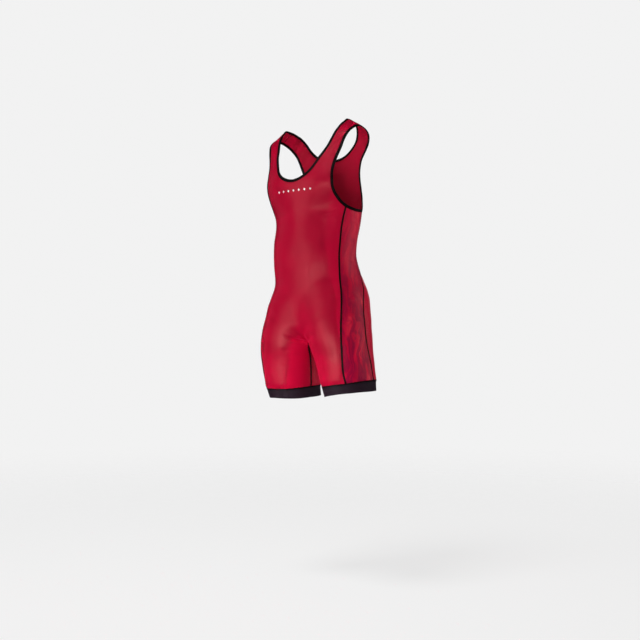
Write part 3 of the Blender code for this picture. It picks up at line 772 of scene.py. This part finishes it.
# ---------------------------------------------------------------------------------------------
# Looks
# ---------------------------------------------------------------------------------------------
class Value:
    """A node's output. Python's operators on it add Math nodes."""

    def __init__(self, nodes, socket):
        self.nodes, self.socket = nodes, socket

    def math(self, operation, *others):
        inputs = dict(enumerate((self, *others)))
        return self.nodes.node("ShaderNodeMath", {"operation": operation}, inputs)[0]

    def reflected(self, operation, other):
        return self.nodes.node("ShaderNodeMath", {"operation": operation}, {0: other, 1: self})[0]

    def __add__(self, other):
        return self.math("ADD", other)

    def __sub__(self, other):
        return self.math("SUBTRACT", other)

    def __rsub__(self, other):
        return self.reflected("SUBTRACT", other)

    def __mul__(self, other):
        return self.math("MULTIPLY", other)

    def __truediv__(self, other):
        return self.math("DIVIDE", other)

    def __pow__(self, other):
        return self.math("POWER", other)

    def __abs__(self):
        return self.math("ABSOLUTE")

    __radd__, __rmul__ = __add__, __mul__

    def sine(self):
        return self.math("SINE")

    def fraction(self):
        return self.math("FRACT")

    def between(self, low, high):
        """0 below low, 1 above high, and smooth between them."""
        settings = {"interpolation_type": "SMOOTHSTEP"}
        return self.nodes.node("ShaderNodeMapRange", settings, {0: self, 1: low, 2: high})[0]


class Nodes:
    """A material's or a world's nodes."""

    def __init__(self, tree):
        self.tree = tree

    def node(self, kind, settings=None, inputs=None):
        """Adds a node, with its settings first, and returns its outputs as values."""
        made = self.tree.nodes.new(kind)
        for name, value in (settings or {}).items():
            if name == "stops":
                self.add_stops(made.color_ramp, value)
            else:
                setattr(made, name, value)
        for key, value in (inputs or {}).items():
            self.feed(made.inputs[key], value)
        return [Value(self, socket) for socket in made.outputs]

    def add_stops(self, ramp, stops):
        while len(ramp.elements) > 1:
            ramp.elements.remove(ramp.elements[-1])
        for i, (place, colour) in enumerate(stops):
            element = ramp.elements[0] if i == 0 else ramp.elements.new(place)
            element.position = place
            element.color = (*colour, 1)

    def feed(self, socket, value):
        if isinstance(value, Value):
            self.tree.links.new(value.socket, socket)
        elif socket.type == "RGBA":
            socket.default_value = (*value, 1)
        else:
            socket.default_value = value

    def send(self, output, value):
        """Sends a shader to the output node of this name."""
        self.feed(self.tree.nodes[output].inputs[0], value)

    def blended(self, factor, low, high):
        """One shader turned to another by a factor."""
        return self.node("ShaderNodeMixShader", inputs={0: factor, 1: low, 2: high})[0]


class Look(Nodes):
    """A material, and the nodes that make it."""

    def __init__(self, name):
        self.material = bpy.data.materials.new(name)
        self.material.use_nodes = True
        super().__init__(self.material.node_tree)
        self.shader = self.tree.nodes["Principled BSDF"]

    def set(self, **sockets):
        """Sets or links inputs of the shader: its name with spaces as underscores."""
        for name, value in sockets.items():
            self.feed(self.shader.inputs[name.replace("_", " ")], value)

    def cut(self):
        """Across and up on the flat cloth, in metres."""
        place = self.node("ShaderNodeAttribute", {"attribute_name": "cut"})[1]
        across, up, _ = self.node("ShaderNodeSeparateXYZ", inputs={0: place})
        return across, up

    def noise(self, x, y, z, detail=3.0, rough=0.5, distortion=0.0):
        """Noise at a place, from 0 to 1. Its three coordinates are already scaled."""
        place = self.node("ShaderNodeCombineXYZ", inputs={0: x, 1: y, 2: z})[0]
        values = {"Vector": place, "Scale": 1.0}
        values.update({"Detail": detail, "Roughness": rough, "Distortion": distortion})
        return self.node("ShaderNodeTexNoise", inputs=values)[0]

    def mix(self, factor, low, high, blend="MIX"):
        """One colour turned to another by a factor."""
        settings = {"data_type": "RGBA", "blend_type": blend}
        return self.node("ShaderNodeMix", settings, {0: factor, 6: low, 7: high})[2]

    def bump(self, height, distance, strength=1.0):
        values = {"Height": height, "Distance": distance, "Strength": strength}
        self.set(Normal=self.node("ShaderNodeBump", inputs=values)[0])


WALE, COURSE = 0.00125, 0.0010       # width of a column of knit loops, and height of a row


def knit(across, up):
    """Height of a knit's face, from 0 to 1: columns of small V-shaped loops."""
    column = abs((across / WALE).fraction() - 0.5) * 2
    loop = ((up / COURSE + column * 0.5) * (2 * math.pi)).sine() * 0.5 + 0.5
    return (1 - column ** 3) * (0.45 + loop * 0.55)


def satin(look, across, up, colour, roughness):
    """What every stretch knit shares: its loops, faint streaks along its rows, and a soft sheen."""
    streaks = look.noise(across * 9, up * 260, 2.0, 2.0)
    clouds = look.noise(across * 14, up * 9, 5.0, 3.0)
    shade = 0.955 + streaks * 0.05 + clouds * 0.05
    grey = look.node("ShaderNodeCombineColor", inputs={0: shade, 1: shade, 2: shade})[0]
    look.set(Base_Color=look.mix(1.0, colour, grey, "MULTIPLY"))
    look.set(Roughness=roughness + clouds * 0.06 + streaks * 0.05)
    look.bump(knit(across, up) + streaks * 0.4, 0.00012, 0.55)
    look.set(Sheen_Weight=0.01, Sheen_Roughness=0.4, Sheen_Tint=(1.0, 0.55, 0.62))
    look.set(Specular_IOR_Level=0.8, Specular_Tint=(1.0, 0.42, 0.38))


def crimson_look(colours, inside=False):
    look = Look("crimson_knit_inside" if inside else "crimson_knit")
    across, up = look.cut()
    tone = look.noise(across * 3.2, up * 2.4, 9.0, 1.0)
    colour = look.mix(tone.between(0.3, 0.7), colours.crimson_deep, colours.crimson)
    satin(look, across, up, colour, 0.62 if inside else 0.30)
    return look.material


def smoke_look(colours, seed):
    """Crimson knit printed with drifting smoke: dark plum, maroon and coral wisps that run up and down."""
    look = Look("smoke_knit_" + str(seed))
    across, up = look.cut()
    drift = look.noise(across * 6, up * 5, 11.0 + seed, 2.0) - 0.5
    curl = look.noise(across * 26 + 7, up * 18, 3.0 + seed, 2.0) - 0.5
    x = across * 26 + drift * 3.4 + curl * 1.0
    y = up * 6.2 + curl * 0.9 + drift * 0.5
    smoke = look.noise(x, y, 1.0 + seed, 3.0, 0.5, 0.15)
    shades = colours.maroon, colours.crimson_deep, colours.crimson, colours.coral
    ground = look.node("ShaderNodeValToRGB", {"stops": zip((0.26, 0.42, 0.58, 0.76), shades)}, {0: smoke})[0]
    strands = look.noise(x * 1.7 + 3, y * 0.8, 20.0 + seed, 3.0, 0.55, 0.2)
    # The dark wisps and clouds are strongest at the foot of the insert and weaken towards the top, so the
    # print is darker towards the bottom.
    darker_towards_bottom = 0.74 - up.between(-0.78, -0.38) * 0.34
    dark = (1 - (abs(strands - 0.5) * 2).between(0.02, 0.22)) * darker_towards_bottom
    deep = look.noise(x * 0.6, y * 1.1 + 9, 8.0 + seed, 2.0).between(0.56, 0.74) * darker_towards_bottom
    colour = look.mix(deep, look.mix(dark, ground, colours.plum), colours.plum)
    light = look.noise(x * 0.9 + 4, y * 1.3, 31.0 + seed, 3.0, 0.5, 0.2).between(0.56, 0.76) * 0.55
    satin(look, across, up, look.mix(light, colour, colours.coral), 0.34)
    return look.material


def band_look(colours):
    """Charcoal elastic: fine ribs round the leg, with painted shade in the grooves and painted light on the
    ribs, and a dull purplish face.
    """
    look = Look("charcoal_elastic")
    across, up = look.cut()
    rib = ((up / 0.0021) * (2 * math.pi)).sine() * 0.5 + 0.5
    loop = ((across / 0.0011) * (2 * math.pi)).sine() * 0.5 + 0.5
    clouds = look.noise(across * 30, up * 90, 4.0, 3.0)
    # Painted shade and light: the grooves take the darker charcoal and the rib crests the lighter one. The
    # clouds are the yarn's own uneven tone.
    shade = rib * 0.35 + clouds * 0.45
    look.set(Base_Color=look.mix(shade, colours.charcoal_groove_shaded, colours.charcoal_rib_lit))
    look.set(Roughness=0.62 + clouds * 0.12, Sheen_Weight=0.03, Sheen_Roughness=0.4)
    look.set(Sheen_Tint=(0.75, 0.68, 0.85), Specular_IOR_Level=0.5)
    look.bump(rib * 0.7 + rib * loop * 0.3, 0.00022, 0.6)
    return look.material


def black_look(colours, name, roughness, grain):
    """Black binding cloth or thread, faintly ribbed along and across."""
    look = Look(name)
    place = look.node("ShaderNodeTexCoord")[3]
    x, y, z = look.node("ShaderNodeSeparateXYZ", inputs={0: place})
    fibres = look.noise(x * grain, y * grain, z * grain, 3.0, 0.6)
    look.set(Base_Color=look.mix(fibres.between(0.3, 0.8), colours.black, colours.black_light))
    look.set(Roughness=roughness + fibres * 0.15, Specular_IOR_Level=0.4)
    look.bump(fibres, 0.00015, 0.5)
    return look.material


def mark_look(colours):
    """White heat-set film, a little worn so that the knit shows through."""
    look = Look("white_film")
    across, up = look.cut()
    worn = look.noise(across * 900, up * 900, 1.0, 3.0, 0.6).between(0.25, 0.45)
    look.set(Base_Color=look.mix(worn, colours.white_worn, colours.white))
    look.set(Roughness=0.45 + worn * 0.1)
    look.bump(knit(across, up), 0.00006, 0.4)
    return look.material


# ---------------------------------------------------------------------------------------------
# Settings a user would change
# ---------------------------------------------------------------------------------------------
def colour_setting(name, description, default):
    return bpy.props.FloatVectorProperty(name=name, description=description, default=default,
                                         subtype="COLOR", size=3, min=0.0, max=1.0)


def length_setting(name, description, default, most):
    return bpy.props.FloatProperty(name=name, description=description, default=default, min=0.0,
                                   max=most, subtype="DISTANCE", unit="LENGTH", precision=4)


class SingletColours(bpy.types.PropertyGroup):
    """Colours of the cloths and trims, in linear light."""
    crimson: colour_setting("Crimson", "Front and back panels", (0.430, 0.0010, 0.0270))
    crimson_deep: colour_setting("Deep Crimson", "Panels where the dye is deeper", (0.385, 0.0009, 0.0235))
    plum: colour_setting("Plum", "Darkest wisps of the smoke print", (0.130, 0.0015, 0.024))
    maroon: colour_setting("Maroon", "Dark clouds of the smoke print", (0.230, 0.0012, 0.020))
    coral: colour_setting("Coral", "Light wisps of the smoke print", (0.640, 0.034, 0.054))
    # The two charcoals are a shaded and a lit copy of the bands' yarn: painted shade in the grooves, painted
    # light on the ribs.
    charcoal_groove_shaded: colour_setting("Charcoal", "Grooves of the leg bands", (0.0088, 0.0036, 0.0074))
    charcoal_rib_lit: colour_setting("Light Charcoal", "Ribs of the leg bands", (0.0155, 0.0072, 0.0134))
    black: colour_setting("Black", "Bindings and threads", (0.0006, 0.0005, 0.0006))
    black_light: colour_setting("Worn Black", "Fibres of the bindings", (0.0020, 0.0018, 0.0020))
    white: colour_setting("White", "Chest mark", (0.90, 0.88, 0.88))
    white_worn: colour_setting("Worn White", "Chest mark where it is rubbed", (0.66, 0.55, 0.56))


class SingletSizes(bpy.types.PropertyGroup):
    """Sizes of the trims."""
    seam_width: length_setting("Seam Width", "Width of a flatlock seam", SEAM_WIDTH, 0.02)
    seam_rise: length_setting("Seam Rise", "Height of a flatlock seam above the cloth", SEAM_RISE, 0.003)
    mark_width: length_setting("Lozenge Width", "Width of one lozenge of the chest mark", 0.0076, 0.03)
    mark_height: length_setting("Lozenge Height", "Height of one lozenge of the chest mark", 0.0086, 0.03)
    marks: bpy.props.IntProperty(name="Lozenges", description="How many lozenges are in the row",
                                 default=7, min=1, max=15)


class SingletStage(bpy.types.PropertyGroup):
    """The floor, the lights and the camera."""
    floor: length_setting("Floor Depth", "How far the floor lies below the shoulder line", 1.56, 3.0)
    distance: length_setting("Camera Distance", "From the middle of the garment to the camera", 4.0, 20.0)
    eye_depth: length_setting("Eye Depth", "How far the camera is below the shoulder line", 0.655, 3.0)
    aside: length_setting("Eye Shift", "How far the camera stands to the right of the middle", 0.0068, 1.0)
    azimuth: bpy.props.FloatProperty(name="Azimuth", description="Camera's turn to the wearer's left",
                                     default=math.radians(38), subtype="ANGLE", unit="ROTATION")
    lens: bpy.props.FloatProperty(name="Lens", description="Focal length for a 36 mm sensor",
                                  default=65.92, min=10, max=300, unit="CAMERA")
    backdrop: bpy.props.FloatProperty(name="Backdrop", description="Brightness of the backdrop",
                                      default=0.887, min=0, max=50)
    ambient: bpy.props.FloatProperty(name="Ambient", description="Brightness of the light from all round",
                                     default=0.12, min=0, max=50)


def settings():
    return bpy.context.scene.singlet_colours, bpy.context.scene.singlet_sizes, bpy.context.scene.singlet_stage


def sewn(obj, node):
    """Hides the CAD node that a cloth stands for. The cloth, obj, is not used."""
    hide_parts(node)


class SINGLET_OT_panels(bpy.types.Operator):
    """Builds the front and back panels"""
    bl_idname = "singlet.panels"
    bl_label = "Panels"

    def execute(self, context):
        colours, _, _ = settings()
        front, back, _, _ = pattern()
        looks = [crimson_look(colours), crimson_look(colours, True)]
        sewn(add_panel("front_cloth", front, False, looks), "front_panel")
        sewn(add_panel("back_cloth", back, True, looks), "back_panel")
        return {"FINISHED"}


class SINGLET_OT_side_inserts(bpy.types.Operator):
    """Builds the two printed side inserts"""
    bl_idname = "singlet.side_inserts"
    bl_label = "Side Inserts"

    def execute(self, context):
        colours, _, _ = settings()
        _, _, side, _ = pattern()
        inside = crimson_look(colours, True)
        for name, grid, flip, seed in (("left", side, False, 0), ("right", mirrored(side), True, 40)):
            across = along_rows(grid)
            looks = [smoke_look(colours, seed), inside]
            obj = add_strip("side_cloth_" + name, grid, across - across[:, -1:] / 2, looks, CLOTH, flip)
            sewn(obj, "side_panel_" + name)
        return {"FINISHED"}


class SINGLET_OT_leg_bands(bpy.types.Operator):
    """Builds the elastic band at the foot of each leg"""
    bl_idname = "singlet.leg_bands"
    bl_label = "Leg Bands"

    def execute(self, context):
        colours, _, _ = settings()
        _, _, _, band = pattern()
        look = band_look(colours)
        for name, grid, flip in (("left", band, False), ("right", mirrored(band), True)):
            across = along_rows(grid)
            obj = add_strip("band_cloth_" + name, grid, across, [look], BAND_CLOTH, flip, True)
            sewn(obj, "leg_band_" + name)
        return {"FINISHED"}


def edges():
    """The closed paths of the neckline and the left armhole, on the form."""
    front, back, side, _ = pattern()
    foot = SEAM_ROWS - 1
    left_neck = np.concatenate([front[foot + CHEST_ROWS:, 0], back[foot + NAPE_ROWS:, 0][::-1][1:]])
    neck = np.concatenate([left_neck, mirrored(left_neck)[::-1][1:-1]])
    arm = np.concatenate([front[foot:, -1], back[foot:, -1][::-1][1:], side[-1, ::-1][1:-1]])
    return neck, arm


class SINGLET_OT_bindings(bpy.types.Operator):
    """Builds the folded bindings round the neck and the armholes, with their stitches"""
    bl_idname = "singlet.bindings"
    bl_label = "Bindings"

    def execute(self, context):
        colours, _, _ = settings()
        neck, arm = edges()
        cloth = black_look(colours, "black_binding", 0.62, 900)
        thread = black_look(colours, "black_thread", 0.5, 3000)
        paths = (("neck_bound_edge", "neck_binding", neck, -1),
                 ("armhole_bound_edge_left", "armhole_binding_left", arm, 1),
                 ("armhole_bound_edge_right", "armhole_binding_right", mirrored(arm)[::-1], 1))
        for name, node, path, towards in paths:
            points, faces = bound_edge(path, towards)
            obj = add_mesh(name, carried(points), faces, [cloth])
            points, faces = stitches(path, towards)
            sewing = add_mesh(name + "_stitches", carried(points), faces, [thread])
            sewn(obj, node)
        return {"FINISHED"}


class SINGLET_OT_seams(bpy.types.Operator):
    """Builds the black flatlock seams and the plain seam over each shoulder"""
    bl_idname = "singlet.seams"
    bl_label = "Seams"

    def execute(self, context):
        colours, sizes, _ = settings()
        front, back, _, band = pattern()
        thread = black_look(colours, "black_flatlock", 0.55, 2400)
        red = crimson_look(colours)
        width, rise = sizes.seam_width, sizes.seam_rise
        for name, panel in (("front", front), ("rear", back)):
            path = panel[:SEAM_ROWS, -1]
            for hand, turned in (("left", path), ("right", mirrored(path))):
                add_seam(f"side_seam_{name}_{hand}", turned, False, width, rise, thread)
        inseam = front[:LEG_ROWS + 1, 0]
        forked = np.concatenate([inseam, mirrored(inseam)[::-1][1:]])
        add_seam("inseam", forked, False, width * 1.2, rise, thread)
        for hand, ring in (("left", band[-1]), ("right", mirrored(band[-1])[::-1])):
            add_seam("band_seam_" + hand, ring, True, width, rise * 1.3, thread)
        top = line(SHOULDER, 12)
        for hand, path in (("left", top), ("right", mirrored(top))):
            add_seam("shoulder_seam_" + hand, path, False, width * 0.7, rise * 0.7, red)
        return {"FINISHED"}


MARK_SPAN, MARK_Z, MARK_SLOPE = 0.0625, -0.224, -0.03
MARK_Y = -0.13            # where its points start on their way back to the form
MARK_CELLS = 8
MARK_SINK, MARK_THICK = 0.0001, 0.00018


class SINGLET_OT_chest_mark(bpy.types.Operator):
    """Builds the row of plain lozenges across the chest"""
    bl_idname = "singlet.chest_mark"
    bl_label = "Chest Mark"

    def execute(self, context):
        colours, sizes, _ = settings()
        s = np.linspace(-0.5, 0.5, MARK_CELLS + 1)
        a, b = np.meshgrid(s, s)
        parts, cuts = [], []
        for x in np.linspace(-MARK_SPAN, MARK_SPAN, sizes.marks):
            across = x + (a - b) * sizes.mark_width / 2
            up = MARK_Z + MARK_SLOPE * x + (a + b) * sizes.mark_height / 2
            start = np.stack([across, np.full_like(across, MARK_Y), up], -1)
            p = pressed(start, np.array((0, 1, 0)), 12, 0.9)
            base, out = dressed(p), outward(p)
            layers = np.stack([base + out * (CLOTH - MARK_SINK), base + out * (CLOTH + MARK_THICK)])
            parts.append(closed_film(layers))
            cuts.append(np.tile(np.stack([across, up], -1).reshape(-1, 2), (2, 1)))
        points, faces = joined(parts)
        obj = add_mesh("chest_mark", carried(points), faces, [mark_look(colours)], np.concatenate(cuts))
        return {"FINISHED"}


def closed_film(layers):
    """A thin closed film from its lower and upper grids of points."""
    _, rows, columns = layers.shape[:3]
    count = rows * columns
    lower, upper = grid_faces(rows, columns, 0, False), grid_faces(rows, columns, count, True)
    index = np.arange(count).reshape(rows, columns)
    rim = np.concatenate([index[0, :-1], index[:-1, -1], index[-1, :0:-1], index[:0:-1, 0]])
    after = np.roll(rim, -1)
    walls = np.stack([rim, rim + count, after + count, after], -1)
    return layers.reshape(-1, 3), np.concatenate([lower, upper, walls])


# ---------------------------------------------------------------------------------------------
# Stage
# ---------------------------------------------------------------------------------------------
# Softboxes: azimuth from the front to the wearer's left, distance, height, width, tallness, power, the
# height that they look at, how wide their beam is in degrees, and the share of their power that glossy
# cloth mirrors.
GLOSS = 0.22
SOFTBOXES = {
    "columns": ("name", "azimuth", "distance", "height", "width", "tall", "power", "aim", "spread", "gloss"),
    "rows": (
        ("key", -20, 3.0, -0.65, 0.40, 2.7, 61, -0.55, 180, GLOSS),
        ("low_key", 8, 1.9, -1.20, 0.60, 0.50, 3.5, -0.98, 40, GLOSS),
        ("chest_light", 32, 2.3, -1.10, 0.50, 0.50, 0.46, -0.10, 17, GLOSS),
        ("strap_light", 36, 2.2, 1.3, 0.40, 0.40, 0.36, -0.06, 10, GLOSS),
        ("edge_left", -84, 2.6, -0.40, 0.50, 2.8, 5, -0.5, 180, GLOSS),
        ("edge_right", 148, 2.6, -0.40, 0.30, 2.6, 14, -0.5, 180, GLOSS),
        ("fill_right", 126, 2.8, -0.40, 1.20, 2.6, 64, -0.5, 180, 0.0),
        ("top", -6, 1.4, 2.2, 1.0, 1.0, 27, -0.1, 180, GLOSS),
        ("back_fill", 205, 3.2, 0.0, 1.6, 2.4, 26, -0.5, 180, GLOSS),
    ),
}
FLOOR_REACH, FLOOR_FADE = 7.0, (0.8, 4.6)
FLOOR_RINGS, FLOOR_SPOKES = 24, 96
FLOOR_GLOW = 0.80         # the floor's own light, over the backdrop's
SENSOR = 36               # millimetres


def softbox(name, azimuth, distance, height, width, tall, power, aim, spread, gloss):
    """Two lights in one place: one that glossy cloth mirrors, and one that it doesn't."""
    angle = math.radians(azimuth)
    place = np.array((distance * math.sin(angle), -distance * math.cos(angle), height))
    way = np.array((0, 0, aim)) - place
    pair = []
    for share, glossy in ((gloss, True), (1 - gloss, False)):
        light = bpy.data.lights.new(name, "AREA")
        light.shape, light.size, light.size_y = "RECTANGLE", width, tall
        light.energy, light.spread = power * share, math.radians(spread)
        obj = bpy.data.objects.new(name, light)
        obj.location = place
        obj.rotation_euler = (math.acos(-way[2] / np.linalg.norm(way)), 0, math.atan2(-way[0], way[1]))
        obj.visible_glossy = glossy
        bpy.context.scene.collection.objects.link(obj)
        pair.append(obj)
    return pair


class SINGLET_OT_stage(bpy.types.Operator):
    """Builds the floor, the backdrop, the lights and the camera"""
    bl_idname = "singlet.stage"
    bl_label = "Stage"

    def execute(self, context):
        _, _, stage = settings()
        lights = {row[0]: softbox(*row) for row in SOFTBOXES["rows"]}
        self.add_world(context, stage)
        context.scene.view_settings.view_transform = "Standard"
        floor_only = bpy.data.collections.new("lit_by_the_top_light_only")
        floor_only.objects.link(self.add_floor(stage))
        floor_only.collection_objects[0].light_linking.link_state = "EXCLUDE"
        for name, pair in lights.items():
            for light in pair:
                if name != "top":
                    light.light_linking.receiver_collection = floor_only
        self.add_camera(context, stage)
        return {"FINISHED"}

    def add_world(self, context, stage):
        """Light from all round, and a brighter backdrop that only the camera sees."""
        world = bpy.data.worlds.new("studio")
        world.use_nodes = True
        studio = Nodes(world.node_tree)
        studio.tree.nodes.remove(studio.tree.nodes["Background"])
        lit, seen = (studio.node("ShaderNodeBackground", inputs={0: (1, 1, 1), 1: strength})[0]
                     for strength in (stage.ambient, stage.backdrop))
        camera_ray = studio.node("ShaderNodeLightPath")[0]
        studio.send("World Output", studio.blended(camera_ray, lit, seen))
        context.scene.world = world
        world.cycles_visibility.glossy = False

    def add_camera(self, context, stage):
        camera = bpy.data.cameras.new("camera")
        camera.lens, camera.sensor_width = stage.lens, SENSOR
        obj = bpy.data.objects.new("camera", camera)
        sine, cosine = math.sin(stage.azimuth), math.cos(stage.azimuth)
        x = stage.distance * sine + stage.aside * cosine
        y = -stage.distance * cosine + stage.aside * sine
        obj.location = (x, y, -stage.eye_depth)
        obj.rotation_euler = (math.pi / 2, 0, stage.azimuth)
        context.scene.collection.objects.link(obj)
        context.scene.camera = obj

    def add_floor(self, stage):
        """A pale disc that fades into the backdrop with distance. It throws no light on the garment."""
        rings = np.linspace(0, 1, FLOOR_RINGS + 1)[1:, None] ** 1.5 * FLOOR_REACH
        angle = np.linspace(0, 2 * math.pi, FLOOR_SPOKES, endpoint=False)[None]
        x, y = rings * np.cos(angle), rings * np.sin(angle)
        points = np.stack([x, y, np.full_like(x, -stage.floor)], -1).reshape(-1, 3)
        faces = [list(range(FLOOR_SPOKES))]
        faces += grid_faces(FLOOR_RINGS, FLOOR_SPOKES, 0, True, True).tolist()
        mesh = bpy.data.meshes.new("floor")
        mesh.from_pydata(points.tolist(), [], faces)
        obj = bpy.data.objects.new("floor", mesh)
        bpy.context.scene.collection.objects.link(obj)
        obj.visible_diffuse = obj.visible_glossy = False
        look = Look("pale_floor")
        look.set(Base_Color=(0.6, 0.6, 0.6), Roughness=0.9, Specular_IOR_Level=0.0)
        look.set(Emission_Color=(1, 1, 1), Emission_Strength=stage.backdrop * FLOOR_GLOW)
        place = look.node("ShaderNodeTexCoord")[3]
        x, y, _ = look.node("ShaderNodeSeparateXYZ", inputs={0: place})
        far = ((x * x + y * y) ** 0.5).between(*FLOOR_FADE)
        clear = look.node("ShaderNodeBsdfTransparent")[0]
        shader = Value(look, look.shader.outputs[0])
        look.send("Material Output", look.blended(far, shader, clear))
        mesh.materials.append(look.material)
        return obj


class SINGLET_PT_panel(bpy.types.Panel):
    """The singlet's pieces and settings"""
    bl_idname = "SINGLET_PT_panel"
    bl_label = "Wrestling Singlet"
    bl_space_type = "VIEW_3D"
    bl_region_type = "UI"
    bl_category = "Singlet"

    def draw(self, context):
        for operator in OPERATORS:
            self.layout.operator(operator.bl_idname)
        for group in settings():
            for name in group.bl_rna.properties.keys():
                if name not in ("rna_type", "name"):
                    self.layout.prop(group, name)


OPERATORS = (SINGLET_OT_stage, SINGLET_OT_panels, SINGLET_OT_side_inserts, SINGLET_OT_leg_bands,
             SINGLET_OT_bindings, SINGLET_OT_seams, SINGLET_OT_chest_mark)
GROUPS = {"singlet_colours": SingletColours, "singlet_sizes": SingletSizes, "singlet_stage": SingletStage}


def register():
    for group in GROUPS.values():
        bpy.utils.register_class(group)
    for operator in OPERATORS:
        bpy.utils.register_class(operator)
    bpy.utils.register_class(SINGLET_PT_panel)
    for name, group in GROUPS.items():
        setattr(bpy.types.Scene, name, bpy.props.PointerProperty(type=group))


def unregister():
    for name in GROUPS:
        delattr(bpy.types.Scene, name)
    for known in (SINGLET_PT_panel, *reversed(OPERATORS), *reversed(tuple(GROUPS.values()))):
        bpy.utils.unregister_class(known)


def main():
    register()
    bpy.ops.singlet.stage()
    bpy.ops.singlet.panels()
    bpy.ops.singlet.side_inserts()
    bpy.ops.singlet.leg_bands()
    bpy.ops.singlet.bindings()
    bpy.ops.singlet.seams()
    bpy.ops.singlet.chest_mark()


if __name__ == "__main__":
    main()
